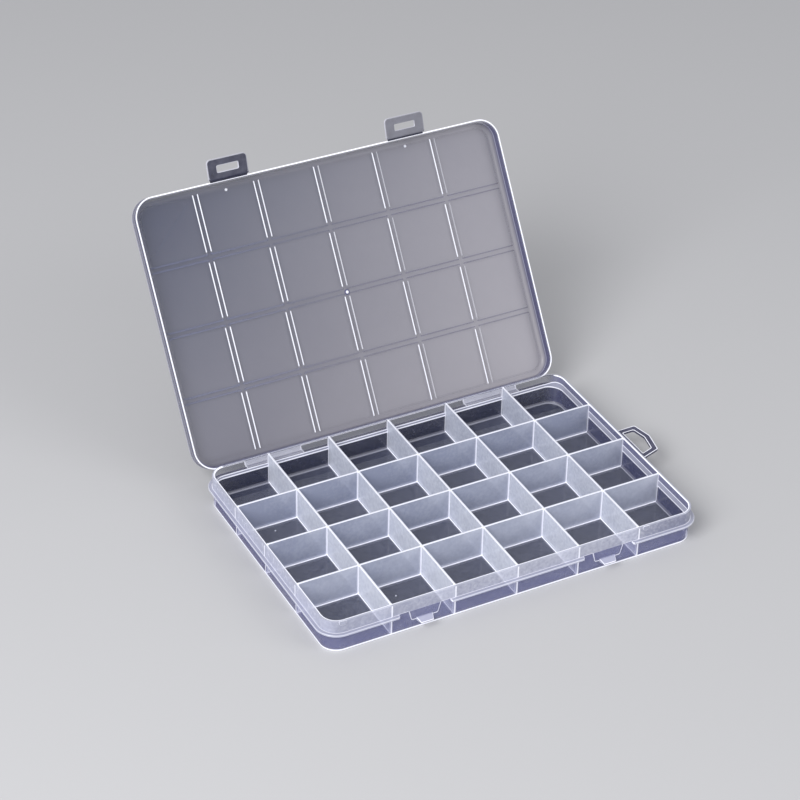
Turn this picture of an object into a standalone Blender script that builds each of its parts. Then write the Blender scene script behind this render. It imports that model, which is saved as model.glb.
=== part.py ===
# Bead storage box: a shallow tray with fixed compartments, a hinged lid and two snap tabs.
# The real box is moulded in milky polypropylene, with film hinges at the lid and at the tabs.
# The lid stands open. Lengths are in metres, +Z is up, and the origin lies under the tray's middle.

import bpy
import bmesh
from math import cos, sin, pi, radians
from mathutils import Vector

# Compartments
COLUMNS = 6
ROWS = 4
CELL = 0.0310
END_COLUMN = 0.03015
END_ROW = 0.0308
DIVIDER_WALL = 0.0010
DIVIDER_EDGE = 0.0002

# Tray shell
TRAY_HEIGHT = 0.0174
TRAY_FLOOR = 0.0012
RIM_WALL = 0.0013
RIM_EDGE = 0.0003
RIM_CORNER = 0.0085
WALL_STEP = 0.00045
BASE_ROUND = 0.0009
FLOOR_ROUND = 0.0007

# Ledge around the tray
LEDGE_TOP = 0.0110
LEDGE_WALL = 0.0011
LEDGE_REACH = 0.0020
LEDGE_EDGE = 0.0003

# Clearance between neighbouring pieces
SEAT_GAP = 0.0003

# Lid shell
RIM_CLEARANCE = 0.00055
RIM_HEADROOM = 0.0010
LID_SKIRT = 0.0012
LID_PLATE = 0.0011
LID_ROUND = 0.0022
LID_INNER_ROUND = 0.0016

# Low ribs under the lid, one ring above each compartment
RIB_WALL = 0.0008
RIB_DIP = 0.0003
RIB_DIVIDER_CLEARANCE = 0.00035
RIB_RIM_CLEARANCE = 0.0006
RIB_CORNER = 0.0009
RIB_EDGE = 0.0002

# Film hinges between the tray and the lid
STRAP_OFFSET = 0.0594
STRAP_LENGTH = 0.0300
STRAP_WALL = 0.0008
HINGE_REACH = 0.0013
LEAF_SETBACK = 0.00015

# Snap tabs on the lid's front edge
LATCH_OFFSET = 0.0475
TAB_HINGE_REACH = 0.00025
TAB_WALL = 0.0011
TAB_WIDTH = 0.0209
TAB_TIP_CORNER = 0.0020
TAB_ROOT_CORNER = 0.0008
TAB_END_HEIGHT = 0.0005
TAB_BAR = 0.0036
SLOT_HEIGHT = 0.0032
SLOT_WIDTH = 0.0110
SLOT_CORNER = 0.0005
LATCH_CLEARANCE = 0.0003

# Latch places on the tray's front wall
LEDGE_BREAK = 0.0260
BREAK_CORNER = 0.0013
TONGUE_TOP_WIDTH = 0.0164
TONGUE_FOOT_WIDTH = 0.0138
TONGUE_DROP = 0.0055
TONGUE_CORNER = 0.0010
CATCH_ROOT_WIDTH = 0.0083
CATCH_TIP_WIDTH = 0.0063
CATCH_ROOT_HEIGHT = 0.0019
CATCH_TIP_HEIGHT = 0.0005
CATCH_PROUD = 0.0008

# Hanging loop at the right end, level with the ledge
LOOP_BACK_ROOT = 0.0140
LOOP_BACK_SHOULDER = 0.0142
LOOP_PEAK = 0.0038
LOOP_FRONT_SHOULDER = -0.0076
LOOP_FRONT_ROOT = -0.0119
LOOP_SHOULDER_REACH = 0.0124
LOOP_PEAK_REACH = 0.0147
LOOP_BAR = 0.0030
LOOP_BAND = 0.0040
LOOP_CORNER = 0.0009

# Pose in which the box is modelled
LID_OPENING = radians(122.9)
TAB_FOLD = radians(75.0)

# Fineness of round forms, and how far cuts run past what they cut
CORNER_STEPS = 7
ROUND_STEPS = 3
SMALL_STEPS = 3
OVERRUN = 0.0010
SHARP_ANGLE = radians(35.0)

# Places that follow from the sizes above
PITCH = CELL + DIVIDER_WALL
INNER_X = ((COLUMNS - 2) * CELL + (COLUMNS - 1) * DIVIDER_WALL) / 2 + END_COLUMN
INNER_Y = ((ROWS - 2) * CELL + (ROWS - 1) * DIVIDER_WALL) / 2 + END_ROW
RIM_X = INNER_X + RIM_WALL
RIM_Y = INNER_Y + RIM_WALL
LEDGE_X = RIM_X + LEDGE_REACH
LEDGE_Y = RIM_Y + LEDGE_REACH
LEDGE_BASE = LEDGE_TOP - LEDGE_WALL
DIVIDER_BASE = TRAY_FLOOR + SEAT_GAP
LID_EDGE = LEDGE_TOP + SEAT_GAP
LID_INSIDE = TRAY_HEIGHT + RIM_HEADROOM
LID_TOP = LID_INSIDE + LID_PLATE
LID_Y = RIM_Y + RIM_CLEARANCE + LID_SKIRT
HINGE_Y = LEDGE_Y + HINGE_REACH
HINGE_Z = LEDGE_TOP + SEAT_GAP / 2
TAB_AXIS_Y = -(LID_Y + TAB_HINGE_REACH)
TAB_LENGTH = LID_EDGE - TAB_END_HEIGHT
SLOT_END = TAB_LENGTH - TAB_BAR
CATCH_BASE = LID_EDGE - SLOT_END + LATCH_CLEARANCE


def clear_scene():
    """Remove every object of the file."""
    for item in list(bpy.data.objects):
        bpy.data.objects.remove(item, do_unlink=True)


def plastic(name, colour, roughness):
    """Make one shade of the box's polypropylene."""
    material = bpy.data.materials.new(name)
    material.use_nodes = True
    shader = material.node_tree.nodes["Principled BSDF"]
    shader.inputs["Base Color"].default_value = (*colour, 1.0)
    shader.inputs["Roughness"].default_value = roughness
    shader.inputs["Metallic"].default_value = 0.0
    return material


def place(name, mesh, material, parent=None, location=(0, 0, 0)):
    """Put a mesh into the scene as one named piece."""
    item = bpy.data.objects.new(name, mesh)
    item.location = location
    item.parent = parent
    if material:
        mesh.materials.append(material)
    mesh.shade_smooth()
    mesh.set_sharp_from_angle(angle=SHARP_ANGLE)
    bpy.context.scene.collection.objects.link(item)
    return item


def pivot(name, location, rotation_x, parent=None):
    """Put an empty on a hinge axis."""
    empty = bpy.data.objects.new(name, None)
    empty.location = location
    empty.rotation_euler = (rotation_x, 0, 0)
    empty.parent = parent
    bpy.context.scene.collection.objects.link(empty)
    return empty


def make_guide(item):
    """Mark a piece as a shape that others are cut or joined with."""
    item.hide_render = True
    item.display_type = "WIRE"


def combine(item, other, operation):
    """Cut a piece with another, or join the other to it."""
    change = item.modifiers.new(other.name, "BOOLEAN")
    change.operation = operation
    change.solver = "EXACT"
    change.object = other
    make_guide(other)


def arc(centre, radius, start, steps):
    """Points of a quarter circle that turns left from a start angle."""
    points = []
    for step in range(steps + 1):
        angle = start + pi / 2 * step / steps
        points.append((centre[0] + radius * cos(angle), centre[1] + radius * sin(angle)))
    return points


def rounded_box(low, high, radii, steps):
    """Outline of a rectangle, with one radius for each corner from low-low, turning left."""
    corners = (
        (low[0], low[1], 1, 1, pi),
        (high[0], low[1], -1, 1, 1.5 * pi),
        (high[0], high[1], -1, -1, 0),
        (low[0], high[1], 1, -1, 0.5 * pi),
    )
    points = []
    for (x, y, inward_x, inward_y, start), radius in zip(corners, radii):
        centre = (x + inward_x * radius, y + inward_y * radius)
        points.extend(arc(centre, radius, start, steps))
    return points


def ring_outline(half_x, half_y, radius):
    """Outline of the tray or the lid at one level."""
    return rounded_box((-half_x, -half_y), (half_x, half_y), [radius] * 4, CORNER_STEPS)


def finish_mesh(name, form):
    """Turn a form's faces outward and store it as a mesh."""
    bmesh.ops.recalc_face_normals(form, faces=form.faces)
    mesh = bpy.data.meshes.new(name)
    form.to_mesh(mesh)
    form.free()
    return mesh


def loft(name, levels):
    """Skin a stack of outlines of equal length, closed by a face at either end."""
    form = bmesh.new()
    rings = []
    for outline, height in levels:
        rings.append([form.verts.new((x, y, height)) for x, y in outline])
    for lower, upper in zip(rings, rings[1:]):
        for index in range(len(lower)):
            after = (index + 1) % len(lower)
            form.faces.new((lower[index], lower[after], upper[after], upper[index]))
    form.faces.new(rings[0])
    form.faces.new(rings[-1])
    return finish_mesh(name, form)


def prism(name, outline, low, high):
    """Extrude an outline from one level to another."""
    return loft(name, ((outline, low), (outline, high)))


def frame_prism(form, outer, inner, low, high):
    """Add a closed frame between two outlines of equal length."""
    levels = ((outer, low), (outer, high), (inner, high), (inner, low))
    rings = []
    for outline, height in levels:
        rings.append([form.verts.new((x, y, height)) for x, y in outline])
    for first, second in zip(rings, rings[1:] + rings[:1]):
        for index in range(len(first)):
            after = (index + 1) % len(first)
            form.faces.new((first[index], first[after], second[after], second[index]))


def slab(form, low, high):
    """Add a plain slab between two corners."""
    outline = ((low[0], low[1]), (high[0], low[1]), (high[0], high[1]), (low[0], high[1]))
    base = [form.verts.new((x, y, low[2])) for x, y in outline]
    top = [form.verts.new((x, y, high[2])) for x, y in outline]
    for index in range(len(base)):
        after = (index + 1) % len(base)
        form.faces.new((base[index], base[after], top[after], top[index]))
    form.faces.new(base)
    form.faces.new(top)


def slab_mesh(name, low, high):
    """Make a mesh of one plain slab."""
    form = bmesh.new()
    slab(form, low, high)
    return finish_mesh(name, form)


def soften(item, width, steps=1):
    """Round the edges of a piece a little."""
    bevel = item.modifiers.new("soft_edges", "BEVEL")
    bevel.width = width
    bevel.segments = steps
    bevel.limit_method = "ANGLE"
    bevel.angle_limit = SHARP_ANGLE


def round_profile(inset_end, radius, level, upward, steps):
    """Offsets and levels of a quarter round between a wall and a flat face."""
    points = []
    for step in range(steps + 1):
        angle = pi / 2 * step / steps
        offset = inset_end + radius * (1 - cos(angle))
        height = level + upward * radius * sin(angle)
        points.append((offset, height))
    return points


def tray_profile():
    """Offsets outward from the rim's outer face, and levels, from the base up and in to the floor."""
    rounded = round_profile(WALL_STEP, BASE_ROUND, BASE_ROUND, -1, ROUND_STEPS)
    base = [(-offset, height) for offset, height in rounded]
    floor = round_profile(RIM_WALL, FLOOR_ROUND, TRAY_FLOOR + FLOOR_ROUND, -1, ROUND_STEPS)
    profile = list(reversed(base))
    profile.append((-WALL_STEP, LEDGE_BASE))
    profile.append((LEDGE_REACH - LEDGE_EDGE, LEDGE_BASE))
    profile.append((LEDGE_REACH, LEDGE_BASE + LEDGE_EDGE))
    profile.append((LEDGE_REACH, LEDGE_TOP - LEDGE_EDGE))
    profile.append((LEDGE_REACH - LEDGE_EDGE, LEDGE_TOP))
    profile.append((0, LEDGE_TOP))
    profile.append((0, TRAY_HEIGHT - RIM_EDGE))
    profile.append((-RIM_EDGE, TRAY_HEIGHT))
    profile.append((RIM_EDGE - RIM_WALL, TRAY_HEIGHT))
    profile.append((-RIM_WALL, TRAY_HEIGHT - RIM_EDGE))
    profile.extend((-offset, height) for offset, height in floor)
    return profile


def break_outline(middle):
    """Plan of the cut that opens the ledge at one latch, flared so that the ledge ends are round."""
    wall = -(RIM_Y - WALL_STEP)
    edge = -LEDGE_Y
    half = LEDGE_BREAK / 2
    beyond = edge - OVERRUN
    left = arc((middle - half - BREAK_CORNER, edge + BREAK_CORNER), BREAK_CORNER, 1.5 * pi, SMALL_STEPS)
    right = [(2 * middle - x, y) for x, y in reversed(left)]
    points = [(middle - half - BREAK_CORNER, beyond)]
    points.extend(left)
    points.append((middle - half, wall))
    points.append((middle + half, wall))
    points.extend(right)
    points.append((middle + half + BREAK_CORNER, beyond))
    return points


def tongue_mesh(name, middle):
    """The smooth tongue that brings the upper wall's face down behind a snap tab."""
    top = LEDGE_TOP + OVERRUN
    foot = LEDGE_TOP - TONGUE_DROP
    flare = (TONGUE_TOP_WIDTH - TONGUE_FOOT_WIDTH) / 2
    flare_at_top = flare * (top - foot) / TONGUE_DROP
    half_foot = TONGUE_FOOT_WIDTH / 2
    half_top = half_foot + flare_at_top
    outline = (
        (middle - half_top, top),
        (middle - half_foot, foot + TONGUE_CORNER),
        (middle - half_foot + TONGUE_CORNER, foot),
        (middle + half_foot - TONGUE_CORNER, foot),
        (middle + half_foot, foot + TONGUE_CORNER),
        (middle + half_top, top),
    )
    form = bmesh.new()
    front = [form.verts.new((x, -RIM_Y, z)) for x, z in outline]
    back = [form.verts.new((x, -(INNER_Y + RIM_WALL / 2), z)) for x, z in outline]
    for index in range(len(front)):
        after = (index + 1) % len(front)
        form.faces.new((front[index], front[after], back[after], back[index]))
    form.faces.new(front)
    form.faces.new(back)
    return finish_mesh(name, form)


def build_tray(material):
    """The tray's floor, walls and ledge, with both latch places."""
    levels = []
    for offset, height in tray_profile():
        levels.append((ring_outline(RIM_X + offset, RIM_Y + offset, RIM_CORNER + offset), height))
    tray = place("tray_shell", loft("tray_shell", levels), material)
    for side, middle in (("left", -LATCH_OFFSET), ("right", LATCH_OFFSET)):
        cut_name = "ledge_cut_" + side
        outline = break_outline(middle)
        cut = place(cut_name, prism(cut_name, outline, LEDGE_BASE - OVERRUN, LEDGE_TOP), None)
        combine(tray, cut, "DIFFERENCE")
        tongue_name = "tongue_" + side
        tongue = place(tongue_name, tongue_mesh(tongue_name, middle), None)
        combine(tray, tongue, "UNION")


def divider_line(index, count):
    """Place of a divider from the middle of the tray."""
    return (index - (count - 2) / 2) * PITCH


def build_long_dividers(material):
    """The dividers that run from the front wall to the rear wall."""
    half = DIVIDER_WALL / 2
    reach = INNER_Y - SEAT_GAP
    for index in range(COLUMNS - 1):
        name = "long_divider_" + str(index + 1)
        mesh = slab_mesh(name, (-half, -reach, DIVIDER_BASE), (half, reach, TRAY_HEIGHT))
        divider = place(name, mesh, material, location=(divider_line(index, COLUMNS), 0, 0))
        soften(divider, DIVIDER_EDGE)


def build_cross_dividers(material):
    """The short walls between the long dividers, in rows that run from end to end."""
    half = DIVIDER_WALL / 2
    for column in range(COLUMNS):
        left = divider_line(column - 1, COLUMNS) + half if column else -INNER_X
        right = divider_line(column, COLUMNS) - half if column < COLUMNS - 1 else INNER_X
        middle = (left + right) / 2
        reach = (right - left) / 2 - SEAT_GAP
        for row in range(ROWS - 1):
            name = "cross_divider_" + str(row + 1) + "_" + str(column + 1)
            mesh = slab_mesh(name, (-reach, -half, DIVIDER_BASE), (reach, half, TRAY_HEIGHT))
            divider = place(name, mesh, material, location=(middle, divider_line(row, ROWS), 0))
            soften(divider, DIVIDER_EDGE)


def inset_outline(outline, insets):
    """Move each side of an outline that turns left inward by its own distance."""
    sides = []
    for index, start in enumerate(outline):
        end = outline[(index + 1) % len(outline)]
        along = (Vector(end) - Vector(start)).normalized()
        inward = Vector((-along.y, along.x))
        sides.append((Vector(start) + inward * insets[index], along))
    points = []
    for index, (start, along) in enumerate(sides):
        before_start, before_along = sides[index - 1]
        share = (start - before_start).cross(along) / before_along.cross(along)
        points.append(tuple(before_start + before_along * share))
    return points


def soften_corners(outline, radius, steps):
    """Replace each corner of an outline that turns left by a small round."""
    points = []
    for index, corner in enumerate(outline):
        before = (Vector(outline[index - 1]) - Vector(corner)).normalized()
        after = (Vector(outline[(index + 1) % len(outline)]) - Vector(corner)).normalized()
        for step in range(steps + 1):
            share = step / steps
            lead = before * (1 - share) ** 2 + after * share ** 2
            points.append(tuple(Vector(corner) + lead * radius))
    return points


def build_loop(material):
    """The flat five-sided loop that the box hangs by."""
    root = LEDGE_X + SEAT_GAP
    shoulder = LEDGE_X + LOOP_SHOULDER_REACH
    outer = (
        (root, LOOP_FRONT_ROOT),
        (shoulder, LOOP_FRONT_SHOULDER),
        (LEDGE_X + LOOP_PEAK_REACH, LOOP_PEAK),
        (shoulder, LOOP_BACK_SHOULDER),
        (root, LOOP_BACK_ROOT),
    )
    band = LOOP_BAND - SEAT_GAP
    inner = inset_outline(outer, (LOOP_BAR, LOOP_BAR, LOOP_BAR, LOOP_BAR, band))
    form = bmesh.new()
    frame_prism(
        form,
        soften_corners(outer, LOOP_CORNER, SMALL_STEPS),
        soften_corners(inner, LOOP_CORNER, SMALL_STEPS),
        LEDGE_BASE,
        LEDGE_TOP,
    )
    place("hanging_loop", finish_mesh("hanging_loop", form), material)


def catch_mesh(name):
    """The wedge that a snap tab's slot drops over, tapered toward its tip."""
    root = -(RIM_Y + SEAT_GAP)
    tip = TAB_AXIS_Y - CATCH_PROUD
    form = bmesh.new()
    sections = (
        (root, CATCH_ROOT_WIDTH / 2, CATCH_ROOT_HEIGHT),
        (tip, CATCH_TIP_WIDTH / 2, CATCH_TIP_HEIGHT),
    )
    rings = []
    for y, half, height in sections:
        corners = ((-half, 0), (half, 0), (half, height), (-half, height))
        rings.append([form.verts.new((x, y, CATCH_BASE + z)) for x, z in corners])
    for index in range(len(rings[0])):
        after = (index + 1) % len(rings[0])
        form.faces.new((rings[0][index], rings[0][after], rings[1][after], rings[1][index]))
    form.faces.new(rings[0])
    form.faces.new(rings[1])
    return finish_mesh(name, form)


def build_catches(material):
    """Both wedge catches on the tray's front wall."""
    for side, middle in (("left", -LATCH_OFFSET), ("right", LATCH_OFFSET)):
        name = "latch_catch_" + side
        place(name, catch_mesh(name), material, location=(middle, 0, 0))


def build_tray_leaves(material):
    """The tray's half of each film hinge, out to the hinge axis."""
    half = STRAP_LENGTH / 2
    low = (-half, LEDGE_Y + SEAT_GAP, LEDGE_TOP - STRAP_WALL)
    high = (half, HINGE_Y - LEAF_SETBACK, LEDGE_TOP)
    for side, middle in (("left", -STRAP_OFFSET), ("right", STRAP_OFFSET)):
        name = "tray_hinge_leaf_" + side
        place(name, slab_mesh(name, low, high), material, location=(middle, 0, 0))


def lid_profile():
    """Offsets outward from the rim's outer face, and levels, from the lid's top down and in."""
    outside = RIM_CLEARANCE + LID_SKIRT
    outer = round_profile(-outside, LID_ROUND, LID_TOP - LID_ROUND, 1, ROUND_STEPS)
    inner = round_profile(-RIM_CLEARANCE, LID_INNER_ROUND, LID_INSIDE - LID_INNER_ROUND, 1, ROUND_STEPS)
    profile = [(-offset, height) for offset, height in reversed(outer)]
    profile.append((outside, LID_EDGE))
    profile.append((RIM_CLEARANCE, LID_EDGE))
    profile.extend((-offset, height) for offset, height in inner)
    return profile


def rib_span(index, count, inner_half):
    """Outer limits of one rib ring along one direction of the tray."""
    beside_divider = DIVIDER_WALL / 2 + RIB_DIVIDER_CLEARANCE
    low = divider_line(index - 1, count) + beside_divider if index else RIB_RIM_CLEARANCE - inner_half
    last = index == count - 1
    high = inner_half - RIB_RIM_CLEARANCE if last else divider_line(index, count) - beside_divider
    return low, high


def rib_rings(hinge):
    """The low rib rings under the lid, whose feet drop just inside the compartments."""
    form = bmesh.new()
    low_z = TRAY_HEIGHT - RIB_DIP
    high_z = LID_INSIDE + LID_PLATE / 2
    box_corner = RIM_CORNER - RIM_WALL - RIB_RIM_CLEARANCE
    places = ((0, 0), (COLUMNS - 1, 0), (COLUMNS - 1, ROWS - 1), (0, ROWS - 1))
    for column in range(COLUMNS):
        left, right = rib_span(column, COLUMNS, INNER_X)
        for row in range(ROWS):
            front, back = rib_span(row, ROWS, INNER_Y)
            radii = [box_corner if (column, row) == spot else RIB_CORNER for spot in places]
            outer = rounded_box((left, front), (right, back), radii, SMALL_STEPS)
            inner_radii = [max(radius - RIB_WALL, RIB_EDGE) for radius in radii]
            low = (left + RIB_WALL, front + RIB_WALL)
            high = (right - RIB_WALL, back - RIB_WALL)
            inner = rounded_box(low, high, inner_radii, SMALL_STEPS)
            frame_prism(form, outer, inner, low_z, high_z)
    mesh = finish_mesh("lid_rib_rings", form)
    return place("lid_rib_rings", mesh, None, hinge, (0, -HINGE_Y, -HINGE_Z))


def build_lid(material, hinge):
    """The lid's plate and skirt with the rib rings, in the hinge's own frame."""
    levels = []
    for offset, height in lid_profile():
        outline = ring_outline(RIM_X + offset, RIM_Y + offset, RIM_CORNER + offset)
        levels.append((outline, height))
    lid = place("lid_shell", loft("lid_shell", levels), material, hinge, (0, -HINGE_Y, -HINGE_Z))
    combine(lid, rib_rings(hinge), "UNION")


def build_lid_leaves(material, hinge):
    """The lid's half of each film hinge."""
    half = STRAP_LENGTH / 2
    low = (-half, LID_Y + SEAT_GAP - HINGE_Y, LID_EDGE - HINGE_Z)
    high = (half, -LEAF_SETBACK, LID_EDGE + STRAP_WALL - HINGE_Z)
    for side, middle in (("left", -STRAP_OFFSET), ("right", STRAP_OFFSET)):
        name = "lid_hinge_leaf_" + side
        place(name, slab_mesh(name, low, high), material, hinge, (middle, 0, 0))


def tab_outline():
    """Front view of a snap tab that hangs from its hinge axis, as width and height."""
    root = -(SEAT_GAP + LEAF_SETBACK)
    half = TAB_WIDTH / 2
    tip_middle = (half - TAB_TIP_CORNER, TAB_TIP_CORNER - TAB_LENGTH)
    tip = arc(tip_middle, TAB_TIP_CORNER, 1.5 * pi, ROUND_STEPS)
    root_middle = (half - TAB_ROOT_CORNER, root - TAB_ROOT_CORNER)
    shoulder = arc(root_middle, TAB_ROOT_CORNER, 0, SMALL_STEPS)
    right = tip + shoulder
    left = [(-x, z) for x, z in reversed(right)]
    return right + left


def stand_up(name, outline, front, back):
    """Extrude a front view from one depth to another."""
    form = bmesh.new()
    rings = []
    for depth in (front, back):
        rings.append([form.verts.new((x, depth, z)) for x, z in outline])
    for index in range(len(outline)):
        after = (index + 1) % len(outline)
        form.faces.new((rings[0][index], rings[0][after], rings[1][after], rings[1][index]))
    form.faces.new(rings[0])
    form.faces.new(rings[1])
    return finish_mesh(name, form)


def build_tabs(material, hinge):
    """Both snap tabs, each on an empty that lies on its film hinge."""
    slot_low = (-SLOT_WIDTH / 2, -SLOT_END)
    slot_high = (SLOT_WIDTH / 2, SLOT_HEIGHT - SLOT_END)
    slot = rounded_box(slot_low, slot_high, [SLOT_CORNER] * 4, SMALL_STEPS)
    for side, middle in (("left", -LATCH_OFFSET), ("right", LATCH_OFFSET)):
        spot = (middle, TAB_AXIS_Y - HINGE_Y, LID_EDGE - HINGE_Z)
        axis = pivot("latch_axis_" + side, spot, -TAB_FOLD, hinge)
        name = "latch_tab_" + side
        tab = place(name, stand_up(name, tab_outline(), 0, TAB_WALL), material, axis)
        cut_name = "latch_slot_" + side
        cut = place(cut_name, stand_up(cut_name, slot, -OVERRUN, TAB_WALL + OVERRUN), None, axis)
        combine(tab, cut, "DIFFERENCE")


def build_box():
    """Model the whole box with its lid standing open."""
    clear_scene()
    clear_wall = plastic("clear_wall", (0.74, 0.75, 0.82), 0.18)
    milky_wall = plastic("milky_wall", (0.83, 0.84, 0.89), 0.30)
    lid_wall = plastic("lid_wall", (0.78, 0.78, 0.82), 0.22)
    film = plastic("hinge_film", (0.88, 0.88, 0.93), 0.35)
    build_tray(clear_wall)
    build_long_dividers(milky_wall)
    build_cross_dividers(milky_wall)
    build_loop(clear_wall)
    build_catches(milky_wall)
    build_tray_leaves(film)
    hinge = pivot("lid_axis", (0, HINGE_Y, HINGE_Z), -LID_OPENING)
    build_lid(lid_wall, hinge)
    build_lid_leaves(film, hinge)
    build_tabs(clear_wall, hinge)


build_box()
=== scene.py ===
"""Looks of a see-through bead storage box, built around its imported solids."""

from math import cos, hypot, pi, radians, sin, sqrt

import bmesh
import bpy
from bpy.props import FloatProperty, FloatVectorProperty, PointerProperty
from bpy.types import Operator, Panel, PropertyGroup
from mathutils import Matrix, Vector


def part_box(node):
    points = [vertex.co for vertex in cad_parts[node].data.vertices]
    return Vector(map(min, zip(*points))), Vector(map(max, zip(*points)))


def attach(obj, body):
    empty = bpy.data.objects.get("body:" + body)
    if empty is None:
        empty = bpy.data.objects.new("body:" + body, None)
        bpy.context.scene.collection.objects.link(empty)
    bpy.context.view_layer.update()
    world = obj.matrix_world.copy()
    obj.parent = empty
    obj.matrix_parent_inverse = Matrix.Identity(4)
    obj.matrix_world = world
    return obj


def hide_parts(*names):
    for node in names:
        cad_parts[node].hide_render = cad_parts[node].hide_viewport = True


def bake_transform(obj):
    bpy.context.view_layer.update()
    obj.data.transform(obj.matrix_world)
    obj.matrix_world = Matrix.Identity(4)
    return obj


bl_info = {
    "name": "Bead storage box",
    "version": (1, 0, 0),
    "blender": (4, 5, 0),
    "location": "3D View > Sidebar > Bead box",
    "description": "Builds the looks of a see-through bead storage box around its packed solids",
    "category": "Object",
}

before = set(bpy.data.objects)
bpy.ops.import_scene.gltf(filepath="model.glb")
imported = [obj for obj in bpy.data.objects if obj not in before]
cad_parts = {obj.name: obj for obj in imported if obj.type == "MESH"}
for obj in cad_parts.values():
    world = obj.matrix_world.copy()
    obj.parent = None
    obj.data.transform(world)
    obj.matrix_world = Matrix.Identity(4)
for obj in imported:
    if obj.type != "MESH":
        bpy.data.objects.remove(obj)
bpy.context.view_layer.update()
TRAY_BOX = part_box("tray_shell")

# Compartments
COLUMNS = 6
ROWS = 4
END_COLUMN = 0.03015
END_ROW = 0.0308

# Tray details
LEDGE_REACH = 0.0020
LEDGE_EDGE = 0.0003
WALL_STEP = 0.00045
BASE_ROUND = 0.0009
FLOOR_ROUND = 0.0007
RIM_ROUND = 0.0004
DIVIDER_ROUND = 0.00022
SMALL_ROUND = 0.0002
SUNK = 0.00045

# Lid details
RIM_CLEARANCE = 0.00055
SEAT_GAP = 0.0003
LID_INSIDE = 0.0184
LID_ROUND = 0.0022
LID_INNER_ROUND = 0.0016
LID_OPENING = radians(122.9)
RIB_DIP = 0.0003
RIB_DIVIDER_CLEARANCE = 0.00035
RIB_RIM_CLEARANCE = 0.0006
RIB_CORNER = 0.0009
RIB_INNER_CORNER = 0.0002

# Film hinges
STRAP_OFFSET = 0.0594
HINGE_REACH = 0.0013
FILM_RADIUS = 0.00055
STRAP_STEPS = 8
STRAP_ON_TRAY = (-SUNK, 0, 0.0006, 0.0010)
STRAP_ON_LID = (0.0003, 0.0007, 0.00155, 0.00155 + SUNK)

# Snap tabs and their catches
LATCH_OFFSET = 0.0475
TAB_HINGE_REACH = 0.00025
TAB_WIDTH = 0.0209
TAB_TIP_CORNER = 0.0020
TAB_ROOT_CORNER = 0.0008
TAB_ROOT = -0.00045
TAB_LENGTH = 0.0108
TAB_FOLD = radians(75.0)
TAB_FILM_WALL = 0.00036
TAB_FILM_START = (0, 0.00055, 0.0002)
TAB_FILM_KNEE = (0, 0.0003, -0.0002)
TAB_FILM_END = (0, 0.00045, TAB_ROOT - 0.0003)
# Strength of each tab's painted highlight lines along its outline and round its slot
TAB_HIGHLIGHT_LINES = {"left": (0.36, 0.62), "right": (0.18, 0.10)}
SLOT_END = 0.0072
SLOT_HEIGHT = 0.0032
SLOT_WIDTH = 0.0110
SLOT_CORNER = 0.0005
LEDGE_BREAK = 0.0260
BREAK_CORNER = 0.0013
TONGUE_TOP_WIDTH = 0.0164
TONGUE_FOOT_WIDTH = 0.0138
TONGUE_DROP = 0.0055
TONGUE_CORNER = 0.0010
TONGUE_FLARE = (TONGUE_TOP_WIDTH - TONGUE_FOOT_WIDTH) / 2 / TONGUE_DROP
CATCH_BASE = 0.0044
CATCH_TIP = 0.0674
CATCH_ROOT_WIDTH = 0.0083
CATCH_TIP_WIDTH = 0.0063
CATCH_ROOT_HEIGHT = 0.0019
CATCH_TIP_HEIGHT = 0.0005

# Hanging loop, as distances from the ledge's outer face and from the tray's middle
LOOP_OUTLINE = ((0, -0.0119), (0.0124, -0.0076), (0.0147, 0.0038), (0.0124, 0.0142), (0, 0.0140))
LOOP_BAR = 0.0030
LOOP_BAND = 0.0040
LOOP_CORNER = 0.0009
LOOP_LINE = 0.00045

# Small marks of the mould
STOP_PLACES = (-0.0883, 0.0676)
STOP_WIDTH = 0.0036
STOP_HEIGHT = 0.0024
STOP_LEVEL = 0.0150
STOP_RISE = 0.0002
STOP_FOOT_ROUND = 0.45
STOP_TOP_ROUND = 0.0002
STOP_ROUND = 0.00012
FLOOR_PIPS = ((-0.0781, 0.0265), (-0.0499, -0.0414))
LID_PIPS = ((-0.0475, -0.0615), (0.0495, -0.0620))
GATE = (0.0009, 0.0006)
FLOOR_PIP_RADIUS = 0.0004
LID_PIP_RADIUS = 0.0007
PIP_RISE = 0.0002
GATE_RADIUS = 0.0014
GATE_RISE = 0.00025
MARK_PROFILE = ((1.0, -0.5), (1.0, 0.4), (0.8, 0.85), (0.45, 1.0))

# Finishes: strength of the painted glow on bright edges, scale, detail and roughness of noise, and how solid
# faces look
PAINTED_EDGE_GLOW = 0.50
GRAIN = 600
STREAK = (130, 3, 0.6)
LID_CLOUD = (22, 3, 0.55)
SKIRT_CLOUD = (45, 2)
SMALL_CLOUD = (220, 3, 0.7)
PLASTIC_IOR = 1.49
EDGE_NAME = "moulded_edge"
LID_INSIDE_MILK = 0.80
LID_OUTSIDE_MILK = 0.42
TAB_INSIDE_MILK = 0.86
TAB_OUTSIDE_MILK = 0.50

# Fineness of round forms
CORNER_STEPS = 12
ROUND_STEPS = 4
OVERRUN = 0.0010
SHARP_ANGLE = radians(35.0)
BROAD_FACE = 0.0015

# How upright a normal is on a level face and on a steep one
LEVEL = 0.98
STEEP = 0.5
TAB_FACE = 0.7

# Places that masks go by: all divider lines lie within the first two
INNER_X = 0.070
INNER_Y = 0.040
LEDGE_FOOT = (0.0102, 0.0104)
LEDGE_RIM = (0.0016, 0.0018)
RIB_LINE = 0.00125

# Camera of the photograph
AIM = (0.01294, 0.07589, 0.01745)
DISTANCE = 1.28423
AZIMUTH = radians(-28.195)
ELEVATION = radians(34.435)
ROLL = radians(1.215)
FOCAL_LENGTH = 117.706
SENSOR = 36.0
CLIP = (0.05, 20)

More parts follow.
